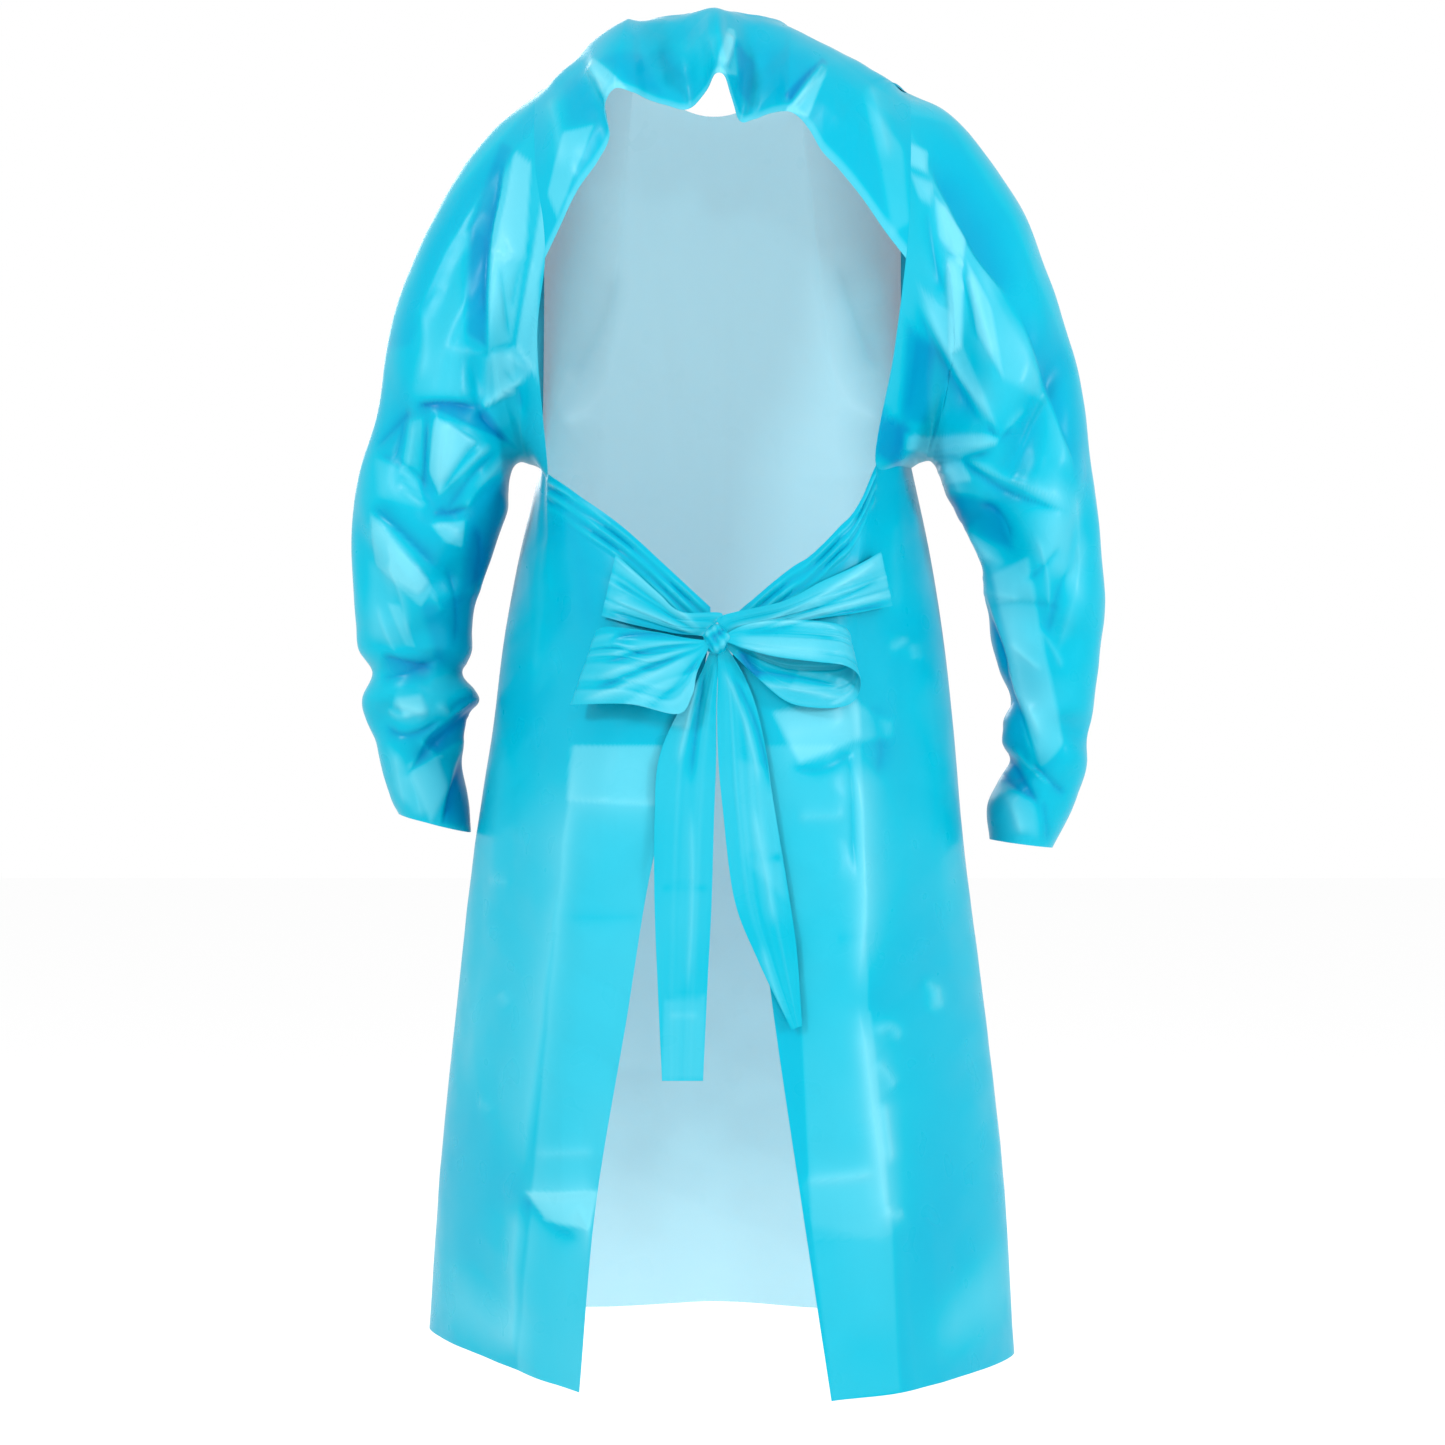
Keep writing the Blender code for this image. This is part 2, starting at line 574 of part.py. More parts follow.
def wall(name, points, outward, wraps=False, colour=FILM):
    # A closed wall round a grid of middle points.
    rows, columns = points.shape[:2]
    outside = points + outward * WALL / 2.0
    inside = points - outward * WALL / 2.0
    verts = np.concatenate([outside.reshape(-1, 3), inside.reshape(-1, 3)])
    half = rows * columns
    faces = []
    last = columns if wraps else columns - 1
    for row in range(rows - 1):
        for column in range(last):
            a = row * columns + column
            b = row * columns + (column + 1) % columns
            c, d = b + columns, a + columns
            faces.append((a, b, c, d))
            faces.append((half + d, half + c, half + b, half + a))
    for row in (0, rows - 1):
        for column in range(last):
            a = row * columns + column
            b = row * columns + (column + 1) % columns
            faces.append((a, half + a, half + b, b) if row == 0 else (b, half + b, half + a, a))
    if not wraps:
        for column in (0, columns - 1):
            for row in range(rows - 1):
                a = row * columns + column
                d = a + columns
                faces.append((d, half + d, half + a, a) if column == 0 else (a, half + a, half + d, d))
    return add_object(name, verts, faces, colour)


def drops_down(top, hem):
    # The drops of one column of the body's rows: close ones across the ridged band, then the skirt.
    band = top + BAND_ROW * np.arange(BAND_ROWS + 1)
    skirt = (np.arange(1, SKIRT_ROWS + 1) / SKIRT_ROWS) ** SKIRT_ROW_GROWTH
    return np.concatenate([band, band[-1] + (hem - band[-1]) * skirt])


def hem_drop(around):
    return float(smooth(HEM["around"], HEM["drop"], around))


def fluted(around, drop):
    # How far the front's soft upright folds stand out: none at the waist and the side seams.
    reach = max(0.0, (drop - FLUTE_TOP_DROP) / (FLUTE_FULL_DROP - FLUTE_TOP_DROP)) ** FLUTE_GROWTH
    inward = 1.0 - (around / SIDE_SEAM) ** 4
    return FLUTE_DEPTH * reach * inward * math.cos(2.0 * math.pi * around)


def front_panel():
    places = np.linspace(SIDE_SEAM, -SIDE_SEAM, BODY_COLUMNS + 1)
    skirt = np.stack([
        [body_point(place, drop) for drop in drops_down(UNDERARM_DROP, hem_drop(place))]
        for place in places
    ], axis=1)
    top, shoulder_out = top_line(True, BODY_COLUMNS - 2 * SHOULDER_STEPS)
    front = list(range(len(ANGLES), SLEEVE_TURN - 1, -1))
    left, left_out = (part[front] for part in armhole("left"))
    right, right_out = (part[front] for part in armhole("right"))
    chest = patch(top, skirt[0], left, right, CHEST_BULGE, CHEST_TURN, 1.0)
    points = np.concatenate([chest, skirt[1:]])
    outward = facing(points)
    flutes = np.array([[fluted(place, -point[2]) for place, point in zip(places, row)] for row in points])
    points += outward * flutes[:, :, None]
    outward = facing(points)
    rows = len(front)
    outward[:rows, 0] = mitred(left_out, outward[:rows, 0])
    outward[:rows, -1] = mitred(right_out, outward[:rows, -1])
    outward[rows:, 0] = (1.0, 0.0, 0.0)
    outward[rows:, -1] = (-1.0, 0.0, 0.0)
    outward[0, 1:SHOULDER_STEPS + 1] = mitred(shoulder_out[0], outward[0, 1:SHOULDER_STEPS + 1])
    outward[0, -SHOULDER_STEPS - 1:-1] = mitred(shoulder_out[1], outward[0, -SHOULDER_STEPS - 1:-1])
    under = rows - 1
    wall("front_panel_chest", drawn_in(points[:rows]), outward[:rows])
    wall("front_panel_skirt", drawn_in(points[under:]), outward[under:])


def back_panel(side):
    mirror = 1.0 if side == "left" else -1.0
    free = LEFT_TOP if side == "left" else RIGHT_TOP
    ring, ring_out = armhole(side)
    seam = list(range(SLEEVE_TURN, PANEL_START - 1, -1))
    shares = np.linspace(0.0, 1.0, EDGE_COLUMNS + 1)
    edge_x = smooth(free["share"], free["x"], shares)
    edge_drop = smooth(free["share"], free["drop"], shares)
    columns = []
    for column, hem_place in enumerate(np.linspace(SIDE_SEAM, BACK_EDGE, SEAM_COLUMNS + EDGE_COLUMNS + 1)):
        on_seam = column <= SEAM_COLUMNS
        start = ring[seam[column]] if on_seam else None
        x = abs(start[0]) if on_seam else edge_x[column - SEAM_COLUMNS]
        drop = -start[2] if on_seam else edge_drop[column - SEAM_COLUMNS]
        top_place = SIDE_SEAM if column == 0 else back_place(mirror, x, drop)
        drops = drops_down(drop, hem_drop(mirror * hem_place))
        share = (drops - drop) / (drops[-1] - drop)
        places = top_place + (hem_place - top_place) * share
        line = np.array([body_point(mirror * place, each) for place, each in zip(places, drops)])
        if on_seam:
            line += (start - line[0]) * (1.0 - share)[:, None] ** SEAM_FADE
        columns.append(line)
    points = np.stack(columns, axis=1)
    outward = -mirror * facing(points)
    ridge = np.zeros(points.shape[:2])
    ridge[1:BAND_ROWS + 1:2, SEAM_COLUMNS + 1:] = BAND_RIDGE
    ridge[2:BAND_ROWS + 1:2, SEAM_COLUMNS + 1:] = -BAND_RIDGE
    points += outward * ridge[:, :, None]
    outward[0, :SEAM_COLUMNS + 1] = mitred(ring_out[seam], outward[0, :SEAM_COLUMNS + 1])
    outward[1:, 0] = (mirror, 0.0, 0.0)
    wall("back_panel_" + side, drawn_in(points), outward)


def back_yoke():
    top, shoulder_out = top_line(False, NECK_BACK_STEPS)
    shares = np.concatenate([
        np.linspace(0.0, YOKE_SHOULDER_SHARE, SHOULDER_STEPS + 1)[:-1],
        np.linspace(YOKE_SHOULDER_SHARE, 1.0 - YOKE_SHOULDER_SHARE, NECK_BACK_STEPS + 1),
        np.linspace(1.0 - YOKE_SHOULDER_SHARE, 1.0, SHOULDER_STEPS + 1)[1:],
    ])
    bottom = np.stack([smooth(YOKE_EDGE["share"], YOKE_EDGE[axis], shares) for axis in "xyz"], axis=1)
    back = list(range(0, YOKE_END + 1))
    left, left_out = (part[back] for part in armhole("left"))
    right, right_out = (part[back] for part in armhole("right"))
    bottom[0], bottom[-1] = left[-1], right[-1]
    points = patch(top, bottom, left, right, YOKE_BULGE, YOKE_TURN, YOKE_EASE)
    outward = -facing(points)
    outward[:, 0] = mitred(left_out, outward[:, 0])
    outward[:, -1] = mitred(right_out, outward[:, -1])
    outward[0, 1:SHOULDER_STEPS + 1] = mitred(shoulder_out[0], outward[0, 1:SHOULDER_STEPS + 1])
    outward[0, -SHOULDER_STEPS - 1:-1] = mitred(shoulder_out[1], outward[0, -SHOULDER_STEPS - 1:-1])
    wall("back_yoke", drawn_in(points), outward)


def folded_in(rings, angles):
    # How deep the large folds lie at each ring and angle.
    depth = np.zeros((len(rings), len(angles)))
    for row in range(len(SLEEVE_FOLDS["ring"])):
        fold = {name: SLEEVE_FOLDS[name][row] for name in SLEEVE_FOLDS}
        away = (angles[None, :] - fold["angle"] + 180.0) % 360.0 - 180.0
        along = rings[:, None] - fold["ring"] - fold["slant"] * away
        depth += fold["depth"] * np.exp(-((along / fold["along"]) ** 2) - (away / fold["around"]) ** 2)
    return depth


def sleeve(side):
    rows, mirror = (LEFT_SLEEVE, 1.0) if side == "left" else (RIGHT_SLEEVE, -1.0)
    start, start_out = (part[:-1] for part in armhole(side))
    turn = np.radians(np.array(ANGLES))[None, :]
    outer = np.stack([mirror * rows["outer_x"], -rows["outer_drop"]], axis=1)
    inner = np.stack([mirror * rows["inner_x"], -rows["inner_drop"]], axis=1)
    middle, reach = (outer + inner) / 2.0, (outer - inner) / 2.0
    x = middle[:, :1] + reach[:, :1] * np.cos(turn)
    z = middle[:, 1:] + reach[:, 1:] * np.cos(turn)
    y = rows["middle_y"][:, None] + rows["half_depth"][:, None] * np.sin(turn)
    points = np.concatenate([start[None], np.stack([x, y, z], axis=2)])
    outward = -mirror * facing(points, wraps=True)
    depth = folded_in(np.arange(len(points), dtype=float), np.array(ANGLES))
    depth[0] = 0.0
    points = points - outward * depth[:, :, None]
    outward = -mirror * facing(points, wraps=True)
    outward[0] = mitred(start_out, outward[0])
    for name, part in (("_upper", slice(SLEEVE_SPLIT + 1)), ("_lower", slice(SLEEVE_SPLIT, None))):
        wall("sleeve_" + side + name, drawn_in(points[part], wraps=True), outward[part], wraps=True)


def knot_end(x, z, y_off, half_width):
    # The two corners of a strip's end that meets the knot from the side of (x, z).
    way = np.array([x - KNOT[0], z - KNOT[2]])
    way /= np.linalg.norm(way)
    nearest = max(0.0, abs(y_off) - WALL / 2.0)
    shrink = math.sqrt(1.0 - (nearest / KNOT_RADII[1]) ** 2)
    reach = shrink / math.hypot(way[0] / KNOT_RADII[0], way[1] / KNOT_RADII[2])
    at = np.array([KNOT[0], KNOT[2]]) + way * (reach + KNOT_CLEAR)
    side = np.array([-way[1], way[0]]) * half_width
    ends = [at + side, at - side]
    return [np.array([end[0], KNOT[1] + y_off, end[1]]) for end in ends]


def met_by_knot(upper, lower, row, y_off, half_width):
    # Moves one row of a strip's two edges to the knot's side.
    middle = (upper[row] + lower[row]) / 2.0
    ends = knot_end(middle[0], middle[2], y_off, half_width)
    if np.linalg.norm(ends[0] - upper[row]) > np.linalg.norm(ends[1] - upper[row]):
        ends = ends[::-1]
    upper[row], lower[row] = ends


def pleated(upper, lower, depth, pleats, seen_row):
    # A strip between two edges with pleats along it. At seen_row its outward side faces +Y.
    columns = 2 * pleats + 1
    across = np.linspace(0.0, 1.0, columns)[None, :, None]
    points = upper[:, None] * (1.0 - across) + lower[:, None] * across
    outward = facing(points)
    if outward[seen_row, pleats, 1] < 0.0:
        outward = -outward
    wave = np.where(np.arange(columns) % 2 == 0, -0.5, 0.5)
    return points + outward * depth[:, None, None] * wave[None, :, None], outward


def edges_over_panels(rows, offs):
    # A strip's upper and lower edges, each at its own distance off the panels.
    return [
        np.array([over_panel(*place) for place in zip(rows[edge + "_x"], rows[edge + "_z"], off)])
        for edge, off in zip(("upper", "lower"), offs)
    ]


def strip_on_panels(name, rows, pleats, knot_row, y_off, half_width):
    upper, lower = edges_over_panels(rows, (rows["off"], rows["off"]))
    met_by_knot(upper, lower, knot_row, y_off, half_width)
    points, outward = pleated(upper, lower, rows["pleat"], pleats, len(upper) // 2)
    wall(name, points, outward, colour=FILM_DEEP)


def bow_loop(name, rows, ends_y):
    upper, lower = edges_over_panels(rows, (rows["upper_off"], rows["lower_off"]))
    met_by_knot(upper, lower, 0, ends_y[0], TIE_END_HALF_WIDTH)
    met_by_knot(upper, lower, -1, ends_y[1], TIE_END_HALF_WIDTH)
    points, outward = pleated(upper, lower, rows["pleat"], LOOP_PLEATS, 2)
    wall(name, points, outward, colour=FILM_DEEP)


def tie_knot():
    # A rounded lump with a few ridges wound round it.
    verts = [(KNOT[0], KNOT[1], KNOT[2] + KNOT_RADII[2])]
    for ring in range(1, KNOT_RINGS):
        tilt = math.pi * ring / KNOT_RINGS
        for side in range(KNOT_SIDES):
            turn = 2.0 * math.pi * side / KNOT_SIDES
            inset = KNOT_RIDGE * (0.5 - 0.5 * math.cos(KNOT_RIDGES * (turn + tilt)))
            verts.append((
                KNOT[0] + (KNOT_RADII[0] - inset) * math.sin(tilt) * math.cos(turn),
                KNOT[1] + (KNOT_RADII[1] - inset) * math.sin(tilt) * math.sin(turn),
                KNOT[2] + (KNOT_RADII[2] - inset) * math.cos(tilt),
            ))
    verts.append((KNOT[0], KNOT[1], KNOT[2] - KNOT_RADII[2]))
    faces = []
    base = 1 + (KNOT_RINGS - 2) * KNOT_SIDES
    for side in range(KNOT_SIDES):
        after = (side + 1) % KNOT_SIDES
        faces.append((0, 1 + side, 1 + after))
        faces.append((base + side, len(verts) - 1, base + after))
        for above in range(1, base, KNOT_SIDES):
            below = above + KNOT_SIDES
            faces.append((above + side, below + side, below + after, above + after))
    add_object("tie_knot", verts, faces, FILM_DEEP)


def main():
    for old in list(bpy.data.objects):
        bpy.data.objects.remove(old, do_unlink=True)
    front_panel()
    back_panel("left")
    back_panel("right")
    back_yoke()
    sleeve("left")
    sleeve("right")
    tie_knot()
    strip_on_panels("waist_tie_left", LEFT_TIE, TIE_PLEATS, -1, TIE_END_Y, TIE_END_HALF_WIDTH)
    strip_on_panels("waist_tie_right", RIGHT_TIE, TIE_PLEATS, -1, TIE_END_Y, TIE_END_HALF_WIDTH)
    strip_on_panels("tie_tail_left", LEFT_TAIL, TAIL_PLEATS, 0, LEFT_TAIL_END_Y, TAIL_END_HALF_WIDTH)
    strip_on_panels("tie_tail_right", RIGHT_TAIL, TAIL_PLEATS, 0, RIGHT_TAIL_END_Y, TAIL_END_HALF_WIDTH)
    bow_loop("bow_loop_left", LEFT_LOOP, LEFT_LOOP_END_Y)
    bow_loop("bow_loop_right", RIGHT_LOOP, RIGHT_LOOP_END_Y)


main()
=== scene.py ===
import math

import bpy
import numpy as np
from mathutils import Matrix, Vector


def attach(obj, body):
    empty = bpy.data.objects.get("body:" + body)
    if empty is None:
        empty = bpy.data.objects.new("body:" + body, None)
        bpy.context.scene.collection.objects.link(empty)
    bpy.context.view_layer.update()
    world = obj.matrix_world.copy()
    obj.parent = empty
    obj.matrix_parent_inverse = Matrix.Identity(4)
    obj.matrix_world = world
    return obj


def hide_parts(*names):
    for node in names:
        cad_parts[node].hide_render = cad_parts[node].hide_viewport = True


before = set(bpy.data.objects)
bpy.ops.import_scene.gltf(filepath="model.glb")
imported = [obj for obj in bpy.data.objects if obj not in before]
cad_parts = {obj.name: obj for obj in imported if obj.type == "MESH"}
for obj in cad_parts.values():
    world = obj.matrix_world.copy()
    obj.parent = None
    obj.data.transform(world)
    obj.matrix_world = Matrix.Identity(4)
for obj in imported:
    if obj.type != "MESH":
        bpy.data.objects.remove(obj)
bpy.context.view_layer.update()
print("frame loaded,", len(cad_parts), "solids")

# A procedure gown of thin film, seen from its open back. Metres, +Z up. The front faces -Y and the
# gown's own left is +X. A drop is a distance below the middle of the neck opening.


def table(columns, *rows):
    names = columns.split()
    return {name: np.array(values, float) for name, values in zip(names, zip(*rows))}


def smooth(knots, values, at):
    # values at places along a smooth curve through the knots
    slopes = np.gradient(values, knots, axis=0)
    at = np.clip(np.asarray(at, float), knots[0], knots[-1])
    index = np.clip(np.searchsorted(knots, at) - 1, 0, len(knots) - 2)
    step = knots[index + 1] - knots[index]
    t = (at - knots[index]) / step
    shape = t.shape + (1,) * (values.ndim - 1)
    t, step = t.reshape(shape), step.reshape(shape)
    return cubic(values[index], values[index + 1], slopes[index] * step, slopes[index + 1] * step, t)


def cubic(start, end, leave, arrive, t):
    rest = 1.0 - t
    first = (1.0 + 2.0 * t) * rest * rest * start + t * rest * rest * leave
    return first + t * t * (3.0 - 2.0 * t) * end - t * t * rest * arrive


def unit(vectors):
    return vectors / np.maximum(np.linalg.norm(vectors, axis=-1, keepdims=True), 1e-12)


def softStep(low, high, value):
    t = np.clip((value - low) / (high - low), 0.0, 1.0)
    return t * t * (3.0 - 2.0 * t)


def facing(points, wraps=False):
    # the way out of the cloth at each point of a grid
    down = np.gradient(points, axis=0)
    across = np.gradient(points, axis=1)
    if wraps:
        across = (np.roll(points, -1, axis=1) - np.roll(points, 1, axis=1)) / 2.0
    return unit(np.cross(across, down))


# the gown's body, by drop and by place round it
# Place 0 is the front middle, 2 the side seam, 3 the crease and 4 the back edge, below 0 on the right.

seamPlace, edgePlace = 2.0, 4.0

frontRows = table(
    "drop centreY cornerX cornerY",
    (0.376, -0.128, 0.115, -0.100),
    (0.450, -0.135, 0.125, -0.106),
    (0.530, -0.142, 0.135, -0.112),
    (0.600, -0.150, 0.142, -0.117),
    (0.700, -0.158, 0.152, -0.124),
    (0.850, -0.172, 0.165, -0.137),
    (1.000, -0.190, 0.178, -0.152),
    (1.160, -0.216, 0.191, -0.168),
)
leftRows = table(
    "drop sideX sideY creaseX creaseY edgeX edgeY",
    (0.376, 0.160, 0.000, 0.134, 0.095, 0.004, 0.125),
    (0.450, 0.178, -0.004, 0.124, 0.112, 0.004, 0.142),
    (0.530, 0.193, -0.009, 0.108, 0.131, 0.005, 0.153),
    (0.600, 0.202, -0.014, 0.108, 0.140, 0.022, 0.158),
    (0.700, 0.218, -0.022, 0.130, 0.144, 0.051, 0.163),
    (0.850, 0.236, -0.033, 0.150, 0.140, 0.078, 0.166),
    (1.000, 0.252, -0.046, 0.164, 0.130, 0.104, 0.169),
    (1.160, 0.264, -0.060, 0.174, 0.116, 0.119, 0.173),
)
rightRows = table(
    "drop sideX sideY creaseX creaseY edgeX edgeY",
    (0.376, 0.166, 0.000, 0.134, 0.095, 0.004, 0.125),
    (0.450, 0.182, -0.002, 0.124, 0.112, 0.004, 0.142),
    (0.530, 0.195, -0.005, 0.108, 0.131, 0.005, 0.153),
    (0.600, 0.203, -0.008, 0.106, 0.142, 0.008, 0.158),
    (0.700, 0.212, -0.011, 0.116, 0.150, 0.022, 0.165),
    (0.850, 0.231, -0.013, 0.130, 0.155, 0.042, 0.172),
    (1.000, 0.248, -0.016, 0.144, 0.151, 0.065, 0.179),
    (1.160, 0.258, -0.020, 0.166, 0.141, 0.090, 0.188),
)
hemRows = table(
    "around drop",
    (-4.0, 1.157), (-3.0, 1.156), (-2.0, 1.156), (-1.0, 1.152), (0.0, 1.150),
    (1.0, 1.147), (2.0, 1.142), (3.0, 1.146), (4.0, 1.153),
)
leftTop = table(
    "share x drop",
    (0.00, 0.1505, 0.386), (0.20, 0.1214, 0.408), (0.40, 0.0907, 0.430),
    (0.75, 0.0389, 0.477), (1.00, 0.0100, 0.504),
)
rightTop = table(
    "share x drop",
    (0.00, 0.1310, 0.381), (0.15, 0.1154, 0.415), (0.35, 0.0977, 0.436),
    (0.55, 0.0726, 0.461), (0.68, 0.0583, 0.470), (1.00, 0.0080, 0.512),
)
leftArmhole = table(
    "angle x y z",
    (0, 0.162, 0.000, -0.046),
    (35, 0.162, 0.052, -0.068),
    (70, 0.159, 0.093, -0.128),
    (105, 0.150, 0.112, -0.208),
    (127, 0.157, 0.105, -0.278),
    (150, 0.1505, 0.062, -0.386),
    (165, 0.157, 0.032, -0.380),
    (180, 0.160, 0.000, -0.376),
    (225, 0.162, -0.068, -0.330),
    (270, 0.162, -0.092, -0.205),
    (315, 0.162, -0.062, -0.092),
    (360, 0.162, 0.000, -0.046),
)
rightArmhole = table(
    "angle x y z",
    (0, 0.162, 0.000, -0.046),
    (35, 0.162, 0.052, -0.068),
    (70, 0.160, 0.093, -0.128),
    (105, 0.155, 0.112, -0.208),
    (127, 0.145, 0.108, -0.288),
    (150, 0.131, 0.087, -0.381),
    (165, 0.153, 0.045, -0.378),
    (180, 0.166, 0.000, -0.376),
    (225, 0.164, -0.068, -0.330),
    (270, 0.162, -0.092, -0.205),
    (315, 0.162, -0.062, -0.092),
    (360, 0.162, 0.000, -0.046),
)
bodyForm = {
    "underarmDrop": 0.376,
    "neckMiddleX": 0.0075,
    "neckHalfWidth": 0.0675,
    "neckBackY": 0.066,
    "neckFrontY": 0.090,
    "neckSideZ": 0.008,
    "neckBackRise": 0.0025,
    "neckFrontDip": 0.058,
    "sectionFrom": 2.2,       # the place where a level round a back panel starts
    "sectionPoints": 37,
    "slopeReach": 0.010,      # how far to each side the panel's slope is read
}


def bodyPoints(around, drop):
    around, drop = np.broadcast_arrays(around, drop)
    left = around >= 0.0
    front = {name: smooth(frontRows["drop"], frontRows[name], drop) for name in frontRows}
    half = {
        name: np.where(
            left,
            smooth(leftRows["drop"], leftRows[name], drop),
            smooth(rightRows["drop"], rightRows[name], drop),
        )
        for name in leftRows
    }
    nothing = np.zeros_like(drop)
    x = np.stack([nothing, front["cornerX"], half["sideX"], half["creaseX"], half["edgeX"]])
    y = np.stack([front["centreY"], front["cornerY"], half["sideY"], half["creaseY"], half["edgeY"]])
    depth = np.hypot(front["cornerX"] - half["creaseX"], front["cornerY"] - half["creaseY"])
    xSlope = np.stack([x[1], x[2] / 2.0, nothing, (x[4] - x[2]) / 2.0, x[4] - x[3]])
    ySlope = np.stack([nothing, (y[2] - y[0]) / 2.0, depth / 2.0, (y[4] - y[2]) / 2.0, y[4] - y[3]])
    place = np.abs(around)
    index = np.minimum(place.astype(int), 3)

    def between(values, slopes):
        here, there = index[None], index[None] + 1
        return cubic(
            np.take_along_axis(values, here, 0)[0],
            np.take_along_axis(values, there, 0)[0],
            np.take_along_axis(slopes, here, 0)[0],
            np.take_along_axis(slopes, there, 0)[0],
            place - index,
        )

    mirror = np.where(left, 1.0, -1.0)
    return np.stack([mirror * between(x, xSlope), between(y, ySlope), -drop], axis=-1)


def backSection(mirror, drop):
    # one level round a back panel, from just behind the side seam to the free edge
    places = np.linspace(bodyForm["sectionFrom"], edgePlace, bodyForm["sectionPoints"])
    return places, bodyPoints(mirror * places, np.full_like(places, drop))


def backPlace(mirror, x, drop):
    places, points = backSection(mirror, drop)
    return float(np.interp(x, mirror * points[::-1, 0], places[::-1]))


def overPanel(x, z, off):
    # the point over a back panel at this x and z, moved out square to it
    mirror = 1.0 if x >= 0.0 else -1.0
    side = bodyForm["slopeReach"]
    points = backSection(mirror, -z)[1]
    reach, y = mirror * points[::-1, 0], points[::-1, 1]
    here, near, far = (float(np.interp(abs(x) + d, reach, y)) for d in (0.0, -side, side))
    out = unit(np.array([mirror * (near - far), 2.0 * side]))
    return np.array([x + out[0] * off, here + out[1] * off, z])


def armholeLine(side, angles):
    rows, mirror = (leftArmhole, 1.0) if side == "left" else (rightArmhole, -1.0)
    points = np.stack([smooth(rows["angle"], rows[axis], angles) for axis in "xyz"], axis=-1)
    points[..., 0] *= mirror
    return points


def neckLine(turn, front):
    form = bodyForm
    depth = -form["neckFrontY"] if front else form["neckBackY"]
    rise = -form["neckFrontDip"] if front else form["neckBackRise"]
    return np.stack([
        form["neckMiddleX"] + form["neckHalfWidth"] * np.cos(turn),
        depth * np.sin(turn),
        form["neckSideZ"] + rise * np.sin(turn),
    ], axis=-1)


def topLine(share, shoulder, front):
    # shoulder, neck opening and other shoulder, by share from left to right
    neck = neckLine(math.pi * np.clip((share - shoulder) / (1.0 - 2.0 * shoulder), 0.0, 1.0), front)
    leftEnd, rightEnd = armholeLine("left", np.zeros(1))[0], armholeLine("right", np.zeros(1))[0]
    onLeft = np.clip(share / shoulder, 0.0, 1.0)[:, None]
    onRight = np.clip((1.0 - share) / shoulder, 0.0, 1.0)[:, None]
    points = np.where(share[:, None] < shoulder, leftEnd + (neck[0] - leftEnd) * onLeft, neck)
    return np.where(share[:, None] > 1.0 - shoulder, rightEnd + (neck[-1] - rightEnd) * onRight, points)


def patch(top, bottom, first, last, bulge, turn, ease):
    # cloth filled in between four edges: top and bottom run across, first and last run down
    # A higher bulge ends the bow of the side edges sooner, and turn and ease spread the rows.
    across = np.linspace(0.0, 1.0, len(top))[None, :, None]
    down = np.linspace(0.0, 1.0, len(first))[:, None, None]
    eased = np.concatenate([down, (np.sin(down * turn) / math.sin(turn)) ** ease, down], axis=2)
    filled = (1.0 - eased) * top[None] + eased * bottom[None]
    firstBow = first[:, None] - ((1.0 - eased) * top[0] + eased * bottom[0])
    lastBow = last[:, None] - ((1.0 - eased) * top[-1] + eased * bottom[-1])
    return filled + (1.0 - across) ** bulge * firstBow + across ** bulge * lastBow


# creases, as soft ridges (height above 0) and troughs (below 0)
# Each runs through three places of x and z, and fades out by its left and its right width, as one
# sees them from behind the gown on the way from the first place to the last.

